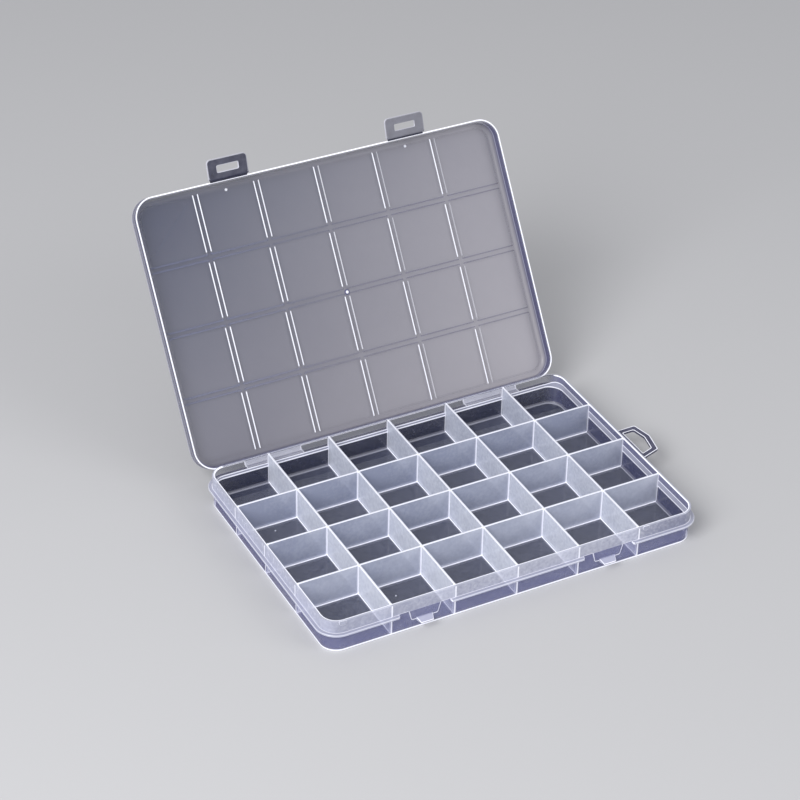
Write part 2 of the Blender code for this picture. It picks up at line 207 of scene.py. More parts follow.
# Table and light
TABLE_HALF = 12.0
LIGHT_SIDE = 0.9
LIGHT_AIM = (0.0, 0.04, 0.03)
KEY_LIGHT = (-1.05, -0.55, 1.05)
FILL_LIGHT = (0.85, -1.05, 0.75)
ROOM_COLOUR = (0.95, 0.96, 1.0, 1.0)
CLEAR_LAYERS = 48

SIDES = (("left", -1), ("right", 1))


def length(label, default):
    """A length that a user may change."""
    return FloatProperty(name=label, default=default, unit="LENGTH", precision=5)


def colour(label, default):
    """A colour that a user may change."""
    return FloatVectorProperty(name=label, default=default, size=3, min=0, max=1, subtype="COLOR")


class BoxSizes(PropertyGroup):
    """Sizes of the box's walls."""

    cell: length("Clear width of an inner compartment", 0.0310)
    divider_wall: length("Thickness of the dividers", 0.0010)
    tray_height: length("Height of the tray at its rim", TRAY_BOX[1].z)
    tray_floor: length("Thickness of the tray's floor", 0.0012)
    rim_wall: length("Thickness of the tray's outer wall", 0.0013)
    rim_corner: length("Corner radius of the tray's rim", 0.0085)
    ledge_top: length("Level of the ledge that carries the lid", 0.0110)
    ledge_wall: length("Thickness of the ledge", 0.0011)
    lid_skirt: length("Thickness of the lid's skirt", 0.0012)
    lid_plate: length("Thickness of the lid's plate", 0.0011)
    rib_wall: length("Thickness of the ribs under the lid", 0.0008)
    strap_length: length("Length of each film hinge", 0.0300)
    strap_wall: length("Thickness of the straps beside the fold", 0.0008)
    fold_wall: length("Thickness of the film in the fold", 0.0004)
    tab_wall: length("Thickness of the snap tabs", 0.0011)


class BoxShades(PropertyGroup):
    """Colours and clearness of the plastic."""

    # Painted highlight: the white of lit rims and edges, and the colour of their painted glow
    edge: colour("Bright rims and edges", (0.86, 0.87, 0.95))
    # Bluish tint of the clear floor, darkened as painted shade
    floor: colour("Clear floor of the tray", (0.04, 0.05, 0.11))
    # Bluish tint of the lower walls, darkened as painted shade
    wall_low: colour("Outer wall below the ledge", (0.195, 0.205, 0.445))
    # Painted shade: the lower left wall, darker and bluer
    wall_low_left: colour("Left wall below the ledge", (0.12, 0.11, 0.36))
    wall_high: colour("Milky wall above the ledge", (0.48, 0.497, 0.63))
    # Painted shade: the dark of the rear wall seen from inside
    wall_deep: colour("Rear wall seen from inside", (0.03, 0.035, 0.07))
    # Painted shade: the dark of the right wall seen from inside, and of the upper outer wall's right end
    wall_deep_right: colour("Right wall seen from inside", (0.05, 0.055, 0.13))
    # Painted shade, lighter: the right wall above the ledge seen from inside
    wall_open_right: colour("Right wall above the ledge", (0.19, 0.195, 0.32))
    # Milky end of the dividers' haze, which the long dividers take mostly as painted light
    divider: colour("Milky dividers", (0.81, 0.84, 0.93))
    # Clearer, darker end of the dividers' haze, which the cross dividers take mostly as painted shade
    divider_deep: colour("Clearer patches of the dividers", (0.385, 0.42, 0.555))
    ledge: colour("Top of the ledge that carries the lid", (0.42, 0.43, 0.55))
    ledge_edge: colour("Outer edge of the ledge", (0.55, 0.57, 0.68))
    # Painted shade: the dark of the ledge behind the rear wall, also used where the inner wall rounds into
    # the floor
    ledge_shade: colour("Ledge behind the rear wall", (0.05, 0.045, 0.09))
    # Painted shade: the haze at the lid's left end
    lid_dark: colour("Haze of the lid's left end", (0.0, 0.009, 0.053))
    # Painted light: the haze at the lid's right end
    lid_light: colour("Haze of the lid's right end", (0.354, 0.340, 0.376))
    # Painted light: a bluish tint over the cross ribs on the lid's left
    rib_blue: colour("Bluish tint of the ribs that run across the lid", (0.32, 0.36, 0.60))
    # Bluish tint of the skirt's outside, darkened as painted shade
    skirt_outer: colour("Outside of the lid's skirt", (0.05, 0.05, 0.16))
    # Painted shade: the dark inside of the lid's skirt, also used for painted shade lines on the ribs and
    # hinges
    skirt_inner: colour("Inside of the lid's skirt", (0.08, 0.08, 0.17))
    outside: colour("Outer faces of the lid and the snap tabs", (0.66, 0.66, 0.72))
    # Painted shade: the left snap tab is a shaded copy of the tabs' plastic; its film takes it too
    tab_left: colour("Left snap tab", (0.0, 0.001, 0.025))
    # Painted light: the right snap tab is a lit copy of the tabs' plastic
    tab_right: colour("Right snap tab", (0.145, 0.145, 0.175))
    # Painted highlight on the snap tabs' edges
    tab_edge: colour("Edges of the snap tabs", (0.66, 0.66, 0.74))
    # Bluish tint of the hanging loop, darkened as painted shade
    loop: colour("Hanging loop", (0.05, 0.05, 0.10))
    strap: colour("Whitened plastic of the film hinges", (0.60, 0.60, 0.69))


class BoxStage(PropertyGroup):
    """Table, light and camera."""

    table: colour("Colour of the pale table", (0.50, 0.50, 0.51))
    key_power: FloatProperty(name="Power of the main light", default=22)
    fill_power: FloatProperty(name="Power of the fill light", default=7)
    sky: FloatProperty(name="Strength of the light all round", default=0.55)
    focal_length: FloatProperty(name="Focal length in millimetres", default=FOCAL_LENGTH)


def sizes():
    """The sizes in use."""
    return bpy.context.scene.bead_box_sizes


def shades():
    """The colours in use."""
    return bpy.context.scene.bead_box_shades


class Plan:
    """Places that follow from the sizes in use."""

    def __init__(self):
        size = sizes()
        self.pitch = size.cell + size.divider_wall
        self.inner_x = ((COLUMNS - 2) * size.cell + (COLUMNS - 1) * size.divider_wall) / 2 + END_COLUMN
        self.inner_y = ((ROWS - 2) * size.cell + (ROWS - 1) * size.divider_wall) / 2 + END_ROW
        self.rim_x = self.inner_x + size.rim_wall
        self.rim_y = self.inner_y + size.rim_wall
        self.rim = (self.rim_x, self.rim_y, size.rim_corner)
        self.rib_corner = size.rim_corner - size.rim_wall - RIB_RIM_CLEARANCE
        self.ledge_x = self.rim_x + LEDGE_REACH
        self.ledge_y = self.rim_y + LEDGE_REACH
        self.ledge_base = size.ledge_top - size.ledge_wall
        self.lid_edge = size.ledge_top + SEAT_GAP
        self.lid_y = self.rim_y + RIM_CLEARANCE + size.lid_skirt
        self.lid_top = LID_INSIDE + size.lid_plate
        self.hinge = Vector((0, self.ledge_y + HINGE_REACH, size.ledge_top + SEAT_GAP / 2))
        turn = Matrix.Rotation(-LID_OPENING, 4, "X")
        self.lid_place = Matrix.Translation(self.hinge) @ turn @ Matrix.Translation(-self.hinge)

    def line(self, index, count):
        """Place of a divider from the tray's middle."""
        return (index - (count - 2) / 2) * self.pitch

    def around(self, offset):
        """Outline of the rim's outer face, moved outward."""
        x, y, corner = (value + offset for value in self.rim)
        return rounded_box((-x, -y), (x, y), [corner] * 4, CORNER_STEPS)

    def tab_axis(self, sign):
        """Middle of a snap tab's hinge axis on the closed lid."""
        return Vector((sign * LATCH_OFFSET, -(self.lid_y + TAB_HINGE_REACH), self.lid_edge))

    def tab_place(self, sign):
        """Where a snap tab stands, folded up from the lid's edge."""
        turn = Matrix.Rotation(-TAB_FOLD, 4, "X")
        return self.lid_place @ Matrix.Translation(self.tab_axis(sign)) @ turn


def maths(operation, turned=False):
    """An operator or a method that adds one maths node."""

    def apply(self, other=0):
        first, second = (other, self) if turned else (self, other)
        return self.finish.node("ShaderNodeMath", {"operation": operation}, {0: first, 1: second})

    return apply


class Flow:
    """A number, colour or vector on its way through a material's nodes."""

    __add__ = maths("ADD")
    __radd__ = maths("ADD", turned=True)
    __sub__ = maths("SUBTRACT")
    __rsub__ = maths("SUBTRACT", turned=True)
    __mul__ = maths("MULTIPLY")
    __rmul__ = maths("MULTIPLY", turned=True)
    __truediv__ = maths("DIVIDE")
    __pow__ = maths("POWER")
    __abs__ = maths("ABSOLUTE")

    # Of two masks, the greater one and where both hold
    __or__ = maths("MAXIMUM")
    __and__ = maths("MULTIPLY")

    # What is left after the last whole number, and the smaller of two numbers
    part = maths("FRACT")
    least = maths("MINIMUM")

    def __init__(self, finish, socket):
        self.finish = finish
        self.socket = socket

    def ramp(self, start, end, course="SMOOTHSTEP"):
        """0 up to start, 1 from end on, and smooth or even between them."""
        reach = {"Value": self, "From Min": start, "From Max": end}
        return self.finish.node("ShaderNodeMapRange", {"interpolation_type": course}, reach)

    def fall(self, start, end):
        """1 up to start and 0 from end on."""
        return 1 - self.ramp(start, end)

    def near(self, spot, half, soft):
        """1 within half of a spot, fading out over soft."""
        return abs(self - spot).fall(half, half + soft)

    def within(self, limit):
        """1 up to a limit on both sides of the box's middle."""
        return abs(self).fall(limit, limit + 0.001)

    def beside_line(self, pitch):
        """Distance from the nearest divider line, below zero before it."""
        return ((self / pitch + 0.5).part() - 0.5) * pitch

    def grid(self, pitch, half, soft):
        """1 near each divider line."""
        return (abs((self / pitch + 0.5).part() - 0.5) * pitch).fall(half, half + soft)

    def between(self, first, second):
        """A number between two numbers."""
        return first + self * (second - first)


class Finish:
    """The nodes of one material, in the box's own coordinates."""

    def __init__(self, name):
        self.material = bpy.data.materials.new(name)
        self.material.use_nodes = True
        self.material.cycles.emission_sampling = "NONE"
        self.tree = self.material.node_tree
        self.tree.nodes.clear()
        self.where = self.node("ShaderNodeTexCoord", output="Object")
        self.x, self.y, self.z = (
            self.node("ShaderNodeSeparateXYZ", inputs={"Vector": self.where}, output=axis) for axis in "XYZ"
        )

    def node(self, kind, settings=None, inputs=None, output=0):
        """Add a node: its settings first, then the values or links of its sockets."""
        node = self.tree.nodes.new(kind)
        for name, value in (settings or {}).items():
            setattr(node, name, value)
        for name, value in (inputs or {}).items():
            if isinstance(value, Flow):
                self.tree.links.new(value.socket, node.inputs[name])
            else:
                node.inputs[name].default_value = value
        return Flow(self, node.outputs[output]) if len(node.outputs) else None

    def outset(self, half_x, half_y, corner, level=None):
        """Distance outward from a rounded rectangle, in plan or in front view with its middle at a level."""
        y = self.y if level is None else self.z - level
        return outset_from(abs(self.x) - (half_x - corner), abs(y) - (half_y - corner), corner)

    def divider_ends(self, plan):
        """1 where a divider ends against the outer wall."""
        ends = []
        for run, limit, away, reach in (
            (self.x, INNER_X, self.y, plan.inner_y),
            (self.y, INNER_Y, self.x, plan.inner_x),
        ):
            line = run.grid(plan.pitch, 0.0003, 0.0002) & run.within(limit)
            ends.append(line & abs(away).ramp(reach - 0.0004, reach))
        return ends[0] | ends[1]

    def far_side(self):
        """1 at the lid's right and rear sides."""
        return self.x.ramp(0.086, 0.096) | self.y.ramp(0.056, 0.065)

    def noise(self, scale, detail=2.0, roughness=0.5, stretch=(1, 1, 1)):
        """Soft noise between 0 and 1."""
        scaled = self.node("ShaderNodeMapping", inputs={"Vector": self.where, "Scale": stretch})
        inputs = {"Vector": scaled, "Scale": scale, "Detail": detail, "Roughness": roughness}
        return self.node("ShaderNodeTexNoise", inputs=inputs)

    def grain(self):
        """Fine speckle between 0 and 1."""
        return self.noise(GRAIN, 2, 0.6).ramp(0.34, 0.66, "LINEAR")

    def close(self, base, alpha, roughness, gloss=0.5, bump=None, bump_depth=0.00002, glow=None):
        """End in one plastic shader. Glow is a painted glow: an emission that stands in for light that runs
        inside the wall and comes out.
        """
        inputs = {"Base Color": paint(base), "Alpha": alpha, "Roughness": roughness, "IOR": PLASTIC_IOR}
        inputs["Specular IOR Level"] = gloss
        if bump:
            lift = {"Height": bump, "Strength": 1.0, "Distance": bump_depth}
            inputs["Normal"] = self.node("ShaderNodeBump", inputs=lift)
        if glow:
            inputs["Emission Color"] = mix(glow, (0, 0, 0), paint("edge", PAINTED_EDGE_GLOW))
            inputs["Emission Strength"] = 1.0
        shader = self.node("ShaderNodeBsdfPrincipled", inputs=inputs)
        self.node("ShaderNodeOutputMaterial", inputs={"Surface": shader})
        return self.material


def paint(value, strength=1.0):
    """A colour as a socket takes it, from its name, its parts or the nodes."""
    if isinstance(value, Flow):
        return value
    if isinstance(value, str):
        value = getattr(shades(), value)
    return (*(strength * part for part in value[:3]), 1.0)


def mix(factor, first, second):
    """A colour between two colours."""
    inputs = {0: factor, 6: paint(first), 7: paint(second)}
    return factor.finish.node("ShaderNodeMix", {"data_type": "RGBA"}, inputs, 2)


def outset_from(over_x, over_y, corner):
    """Distance outward from a rounded rectangle, by how far a place lies past its corner's middle."""
    out_x, out_y = over_x | 0, over_y | 0
    return (out_x * out_x + out_y * out_y) ** 0.5 + (over_x | over_y).least(0) - corner


def arc(centre, radius, start, steps=ROUND_STEPS):
    """Points of a quarter circle that turns left from a start angle."""
    points = []
    for step in range(steps + 1):
        angle = start + pi / 2 * step / steps
        points.append((centre[0] + radius * cos(angle), centre[1] + radius * sin(angle)))
    return points


def rounded_box(low, high, radii, steps=ROUND_STEPS):
    """Outline of a rectangle, with one radius for each corner from low-low, turning left."""
    corners = (
        (low[0], low[1], 1, 1, pi),
        (high[0], low[1], -1, 1, 1.5 * pi),
        (high[0], high[1], -1, -1, 0),
        (low[0], high[1], 1, -1, 0.5 * pi),
    )
    points = []
    for (x, y, inward_x, inward_y, start), radius in zip(corners, radii):
        points.extend(arc((x + inward_x * radius, y + inward_y * radius), radius, start, steps))
    return points


def finish_mesh(name, form):
    """Turn a form's faces outward and store it as a mesh."""
    bmesh.ops.recalc_face_normals(form, faces=form.faces)
    mesh = bpy.data.meshes.new(name)
    form.to_mesh(mesh)
    form.free()
    return mesh


def skin(form, rings, closed=False):
    """Skin a row of rings of points, which joins its own start or ends in a face on either side."""
    rings = [[form.verts.new(point) for point in ring] for ring in rings]
    strips = []
    for first, second in zip(rings, rings[1:] + rings[:1] if closed else rings[1:]):
        corners = zip(first, first[1:] + first[:1], second[1:] + second[:1], second)
        strips.append([form.faces.new(face) for face in corners])
    if not closed:
        form.faces.new(rings[0])
        form.faces.new(rings[-1])
    return strips


def solid(name, rings):
    """Mesh of one solid over a row of rings of points."""
    form = bmesh.new()
    skin(form, rings)
    return finish_mesh(name, form)


def lift(levels):
    """Rings of points from pairs of an outline and its level."""
    return [[(x, y, level) for x, y in outline] for outline, level in levels]


def loft(name, levels):
    """Mesh over a stack of outlines, closed by a face at either end."""
    return solid(name, lift(levels))


def shell(name, plan, profile):
    """Mesh over the rim's outline, moved outward by each offset of a profile at its level."""
    return loft(name, [(plan.around(offset), level) for offset, level in profile])


def stand_up(name, outline, front, back):
    """Extrude a front view from one depth to another."""
    return solid(name, [[(x, depth, z) for x, z in outline] for depth in (front, back)])


def guide(name, mesh):
    """A passing object that another is cut or joined with."""
    item = bpy.data.objects.new(name, mesh)
    bpy.context.scene.collection.objects.link(item)
    return item


def combined(mesh, changes):
    """A mesh after cuts and joins, given as pairs of a Boolean's operation and the other mesh."""
    item = guide(mesh.name + "_work", mesh)
    others = []
    for operation, other_mesh in changes:
        other = guide(other_mesh.name, other_mesh)
        change = item.modifiers.new(other.name, "BOOLEAN")
        change.operation = operation
        change.solver = "EXACT"
        change.object = other
        others.append(other)
    depsgraph = bpy.context.evaluated_depsgraph_get()
    result = bpy.data.meshes.new_from_object(item.evaluated_get(depsgraph))
    result.name = mesh.name
    for spent in [item, *others]:
        bpy.data.objects.remove(spent)
    return result


def show(name, mesh, materials, body, nodes, place=None):
    """Put one piece of the box into the scene."""
    for material in materials:
        mesh.materials.append(material)
    mesh.shade_smooth()
    mesh.set_sharp_from_angle(angle=SHARP_ANGLE)
    for face in mesh.polygons:
        face.use_smooth = face.area < BROAD_FACE
    item = bpy.data.objects.new(name, mesh)
    bpy.context.scene.collection.objects.link(item)
    if place:
        item.matrix_world = place
    if nodes:
        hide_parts(*nodes)
    if body:
        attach(item, body)
    return item


def soften(item, width, steps=2, material=-1):
    """Round the edges of a piece, with a finish of their own where one is given."""
    bevel = item.modifiers.new("soft_edges", "BEVEL")
    bevel.width = width
    bevel.segments = steps
    bevel.limit_method = "ANGLE"
    bevel.angle_limit = SHARP_ANGLE
    bevel.material = material


def outset(spot, half_x, half_y, corner):
    """Distance outward from a rounded rectangle."""
    over_x, over_y = abs(spot.x) - (half_x - corner), abs(spot.y) - (half_y - corner)
    return hypot(max(over_x, 0), max(over_y, 0)) + min(max(over_x, over_y), 0) - corner


def sort_faces(mesh, rule):
    """Give each face the finish whose number the rule returns for its middle and its normal."""
    for face in mesh.polygons:
        face.material_index = rule(face.center, face.normal)


def edge_finish():
    """Painted highlight for edges: white-looking, with a painted glow for the light that runs inside the
    wall. Made once and shared.
    """
    if EDGE_NAME in bpy.data.materials:
        return bpy.data.materials[EDGE_NAME]
    finish = Finish(EDGE_NAME)
    streak = finish.noise(*STREAK)
    base = mix(streak * 0.35, "edge", paint("edge", 0.82))
    return finish.close(base, 0.90 + streak * 0.08, 0.22 + streak * 0.1, 0.5, glow=0.3 + streak * 0.15)


def tongue_line(finish, plan, size):
    """Mask for painted highlight lines: the outline of the tongues behind the snap tabs, and the edge of the
    wall beside them.
    """
    x, y, z = finish.x, finish.y, finish.z
    top, front = size.ledge_top, -plan.rim_y
    foot = top - TONGUE_DROP
    beside = abs(abs(x) - LATCH_OFFSET)
    over_x = beside - (z - foot) * TONGUE_FLARE - (TONGUE_FOOT_WIDTH / 2 - TONGUE_CORNER)
    out = outset_from(over_x, foot + TONGUE_CORNER - z, TONGUE_CORNER)
    outline = out.near(-0.00022, 0.00020, 0.00010) & z.fall(top - 0.0002, top + 0.0002)
    step = z.near(top + 0.00014, 0.00010, 0.00008) & out.ramp(0, 0.0002)
    step = step & beside.fall(LEDGE_BREAK / 2 - 0.0002, LEDGE_BREAK / 2)
    return ((outline * 0.8) | (step * 0.5)) & y.fall(front + 0.0001, front + 0.0003)


def outer_wall_finish():
    """Outer skin of the tray: milky above the ledge, clearer and bluer below it, with painted light and shade
    along the walls and painted highlight lines with a painted glow at its foot, the dividers' ends and the
    tongues.
    """
    plan, size = Plan(), sizes()
    finish = Finish("tray_outer_skin")
    x, y, z = finish.x, finish.y, finish.z
    cloud = finish.noise(45, 3, 0.6)
    grain = finish.grain()
    left = x.fall(-0.0945, -0.0900)
    rear = y.ramp(0.0600, 0.0620)
    depth = y.ramp(-0.065, 0.065, "LINEAR")
    upper = z.ramp(size.ledge_top - 0.0003, size.ledge_top)
    # Painted shade: the lower left wall darkens towards the rear, with a lighter band by the second row
    low = mix(left * (0.45 + depth * 0.55), "wall_low", "wall_low_left")
    second_row = y.near(-0.016, 0.012, 0.008)
    shift = left * (second_row * 0.16 - depth * 0.27 + 0.03)
    low = mix((cloud - 0.34) * 0.6 + (grain - 0.5) * 0.2 + shift, low, "wall_high")
    # Painted highlight: the upper wall lightens near the middle of its length
    lit = x.near(0.012, 0.006, 0.080) * 0.26 + (grain - 0.5) * 0.30 + 0.03
    high = mix(lit, "wall_high", "edge")
    # Painted shade: the upper wall darkens towards its right end
    high = mix(x.ramp(0.055, 0.085) * 0.38 + (0.5 - grain) * 0.14, high, "wall_deep_right")
    base = mix(upper, low, high)
    # Painted highlight lines at the foot, the dividers' ends and the tongues, with a painted glow
    foot = z.fall(0.0011, 0.0015)
    mark = foot | (finish.divider_ends(plan) * 0.9) | tongue_line(finish, plan, size)
    base = mix(mark, base, "edge")
    alpha = upper.between(0.44 - left * 0.06, 0.62 + left * 0.20 - rear * 0.45)
    alpha = mark.between(alpha + cloud * 0.06, 0.94)
    glow = (foot * 0.8) | (mark * 0.25)
    return finish.close(base, alpha, 0.18 + grain * 0.1, 0.5, cloud, glow=glow)


def inner_wall_finish():
    """Inner skin of the outer wall. At the rear and right it is dark as painted shade, and the ledge behind
    it shows as pale bands with painted highlight lines.
    """
    finish = Finish("tray_inner_skin")
    x, y, z = finish.x, finish.y, finish.z
    grain = finish.grain()
    right = x.ramp(0.0880, 0.0940)
    rear = y.ramp(0.0560, 0.0620)
    far = right | rear
    above = z - (right * 0.0015 + 0.0120)
    # Pale lines where the ledge shows through, as painted highlights with a painted glow
    low_level = 0.0104 - right * 0.0003
    low_line = z.near(low_level, 0.00028, 0.00014)
    lines = low_line | above.near(0, 0.00024, 0.00012)
    seen_ledge = z.ramp(*LEDGE_FOOT) & above.fall(-0.0002, 0)
    open_part = above.ramp(0, 0.0003)
    # Painted shade: dark at the rear and right, lighter on the right above the ledge
    base = mix(right, "wall_deep", "wall_deep_right")
    base = mix(open_part & right, base, "wall_open_right")
    # Painted light and shade: lighter by the right end, darker by the left end
    patch = x.near(0.077, 0.012, 0.006) * 0.05 - x.near(-0.080, 0.013, 0.004) * 0.05
    base = mix((grain - 0.2) * 0.07 + patch, base, "wall_high")
    base = mix(seen_ledge, base, "ledge")
    base = mix(lines, base, "edge")
    base = mix(1 - far, base, "wall_high")
    # Painted shade where the wall rounds into the floor
    low_round = z.fall(sizes().tray_floor + 0.0003, sizes().tray_floor + FLOOR_ROUND + 0.0002)
    base = mix(low_round * 0.5, base, "ledge_shade")
    far_alpha = 0.84 + lines * 0.1 - open_part * (1 - right) * 0.70
    alpha = far.between(0.15, far_alpha)
    glow = lines & (rear * 0.6 | right * 0.25)
    return finish.close(base, alpha, 0.18 + grain * 0.1, 0.5, grain, 0.00001, glow)


def rim_finish():
    """Top of the outer wall: a painted highlight on its inner half, milky outside, and clear in front of the
    lid with a painted shade line along its inner edge; its inner round has a painted glow.
    """
    plan = Plan()
    finish = Finish("tray_rim")
    x, y = finish.x, finish.y
    streak = finish.noise(*STREAK)
    out = finish.outset(*plan.rim)
    clear = y.ramp(0.0612, 0.0622) & x.ramp(-0.0885, -0.0875)
    narrow = x.ramp(0.090, 0.094) * 0.00022
    # Painted highlight on the inner half, narrower on the right
    bright = (out + narrow).fall(-0.00070, -0.00050) & (1 - clear)
    # Painted shade: a dark line along the inner edge in front of the lid
    dark = out.fall(-0.0012, -0.0011) & clear
    base = mix(0.25 + bright * 0.75, "wall_high", "edge")
    base = mix(dark, base, "wall_deep")
    alpha = 0.58 - clear * 0.38 + bright * (0.34 + streak * 0.06) + dark * 0.5
    # Painted light: a glow on the inner round lifts the shade that falls there
    inner_round = out.fall(-0.00115, -0.00095) & (1 - clear)
    glow = bright * 0.15 + inner_round * 0.75
    return finish.close(base, alpha, 0.25 + inner_round * 0.35 + streak * 0.1, 0.5, glow=glow)


def ledge_finish():
    """The ledge that carries the lid: painted highlight lines on its edges, and painted shade behind the rear
    wall but for the hinges, which carry a painted shade line.
    """
    plan, size = Plan(), sizes()
    finish = Finish("tray_ledge")
    x, y, z = finish.x, finish.y, finish.z
    cloud = finish.noise(90, 2)
    out = finish.outset(*plan.rim)
    level = z.ramp(size.ledge_top - 0.00015, size.ledge_top - 0.00005)
    root = out.fall(0.0003, 0.00045) & level
    low_edge = z.fall(*LEDGE_FOOT) & out.ramp(*LEDGE_RIM)
    high_edge = z.near(size.ledge_top - 0.00015, 0.0001, 0.00008) & out.ramp(*LEDGE_RIM)
    rear = y.ramp(0.0638, 0.0648)
    beside = abs(abs(x) - STRAP_OFFSET)
    strap = beside.fall(0.0147, 0.0151)
    base = mix(level, "ledge_edge", "ledge")
    # Painted shade behind the rear wall; under the hinges the ledge takes the straps' whitened plastic
    base = mix(rear & (1 - strap), base, "ledge_shade")
    base = mix(rear & strap, base, "strap")
    # Painted shade line across the hinges
    painted_shade_line = out.near(0.00075, 0.0001, 0.0001) & rear & strap & level
    base = mix(painted_shade_line * 0.6, base, "ledge_shade")
    end_line = beside.near(0.0149, 0.0002, 0.0001) & rear & level
    # Painted highlight lines on the ledge's edges and the hinges' ends, with a painted glow
    mark = (root * 0.85) | (low_edge * 0.95) | (high_edge * 0.55) | (end_line * 0.8)
    base = mix(mark, base, "edge")
    alpha = 0.54 + rear * 0.28 + cloud * 0.06 + mark * 0.12
    return finish.close(base, alpha, 0.2 + cloud * 0.1, 0.5, cloud, glow=mark * 0.3)


def floor_finish():
    """Clear floor of the tray, darkened as painted shade, a little cloudy and lightly scuffed, with painted
    highlight lines where the dividers stand and more solid, so darker, towards the rear and right.
    """
    plan = Plan()
    finish = Finish("tray_floor")
    x, y = finish.x, finish.y
    cloud = finish.noise(30, 3)
    grain = finish.grain()
    scuff = finish.noise(300, 4, 0.7, (1, 0.25, 1)).ramp(0.55, 0.8)
    # Painted light and shade in the rear row: a lighter patch right of the middle, a darker one at the left
    # end
    patch = x.near(0.048, 0.013, 0.004) * 0.06 - x.near(-0.080, 0.013, 0.004) * 0.05
    patch = patch * y.ramp(0.030, 0.036)
    haze_scuffs_and_painted_patches = cloud * 0.14 + scuff * 0.10 + (grain - 0.5) * 0.13 + patch
    base = mix(haze_scuffs_and_painted_patches, "floor", "wall_high")
    # Painted highlight lines where the dividers stand, with a painted glow
    mark = x.grid(plan.pitch, 0.00060, 0.0002) & x.within(INNER_X)
    mark = mark | (y.grid(plan.pitch, 0.00068, 0.0002) & y.within(INNER_Y))
    base = mix(mark, base, "edge")
    # Painted shade: more solid, so darker, towards the rear and right
    depth = y.ramp(0.020, 0.062) * 0.01 + x.ramp(0.060, 0.095) * 0.02
    alpha = 0.60 + depth + mark * 0.3
    return finish.close(base, alpha, 0.10 + scuff * 0.2, 0.6, cloud, glow=mark * 0.35)


def divider_finish(name, along, reach):
    """Milky divider with soft clouds, painted light that brightens it towards its far upper corner, and
    painted highlight lines with a painted glow on its top, foot and corners.
    """
    plan, size = Plan(), sizes()
    finish = Finish(name)
    x, y, z = finish.x, finish.y, finish.z
    cloud = finish.noise(55, 2, 0.5)
    grain = finish.grain()
    height = (z - size.tray_floor) / (size.tray_height - size.tray_floor)
    across = x.ramp(-0.064, 0.064, "LINEAR")
    back = y.ramp(-0.048, 0.048, "LINEAR")
    # Painted light and shade: the long dividers are a lit copy, lighter to the left and front; the cross
    # dividers a shaded copy, lighter to the front and right, towards the right of each span and towards the
    # top
    if along == "y":
        run, over, limit = y, x, INNER_Y
        haze_and_painted_light = 0.96 - across * 0.17 - back * 0.20 - across * back * 0.13 + (cloud - 0.5) * 0.35
    else:
        run, over, limit = x, y, INNER_X
        glow = (run / plan.pitch).part().ramp(0.35, 1.0) * height
        last = x.ramp(0.066, 0.075) * back
        haze_and_painted_light = 0.34 + across * 0.10 - back * 0.46 - last * 0.08 + glow * 0.32 + (cloud - 0.5) * 0.20
    haze_and_painted_light = haze_and_painted_light + (grain - 0.5) * (0.35 if along == "y" else 0.15)
    base = mix(haze_and_painted_light, "divider_deep", "divider")
    # Painted highlight lines on the top, dimmer on one side of each crossing, on the foot and at the corners
    top = z.ramp(size.tray_height - 0.00030, size.tray_height - 0.00015)
    top = top * (1 - over.beside_line(plan.pitch).ramp(-0.0001, 0.0002) * 0.55)
    foot = z.fall(size.tray_floor + 0.0004, size.tray_floor + 0.0006)
    corner = run.beside_line(plan.pitch).near(-0.00072, 0.00024, 0.0001)
    corner = (corner & run.within(limit)) | abs(run).near(reach - 0.0002, 0.0003, 0.0001)
    mark = top | foot | (corner * 0.85)
    base = mix(mark, base, "edge")
    alpha = 0.66 + cloud * 0.10 + mark * 0.25
    return finish.close(base, alpha, 0.30 + grain * 0.12, 0.35, grain, 0.00001, (foot * 0.5) | (corner * 0.3))


def lid_haze(finish, cloud):
    """The lid's haze with painted light: it lightens to the right and towards the hinges, and near its left
    and front edges, where the skirt's shadow falls.
    """
    x, y = finish.x, finish.y
    across = x.ramp(-0.096, 0.096, "LINEAR")
    back = y.ramp(-0.060, 0.060, "LINEAR")
    out = finish.outset(*Plan().rim)
    # Painted light near the left and front edges, which lifts the skirt's shadow
    beside = out.ramp(-0.0035, -0.0010) & (1 - finish.far_side())
    haze_and_painted_light = across * 0.618 + back * 0.395 + 0.024 + (cloud - 0.5) * 0.06 + beside * 0.13
    return mix(haze_and_painted_light, "lid_dark", "lid_light")


def lid_finish():
    """Hazy lid plate, with the haze's painted light on its inside and a milky outside."""
    finish = Finish("lid_plate")
    z = finish.z
    cloud = finish.noise(*LID_CLOUD)
    fine = finish.noise(500, 2)
    outside = z.ramp(LID_INSIDE + 0.0004, LID_INSIDE + 0.0006)
    base = mix(outside, lid_haze(finish, cloud), "outside")
    alpha = outside.between(LID_INSIDE_MILK, LID_OUTSIDE_MILK)
    return finish.close(base, alpha, 0.34 + fine * 0.1, 0.35, fine, 0.000006)


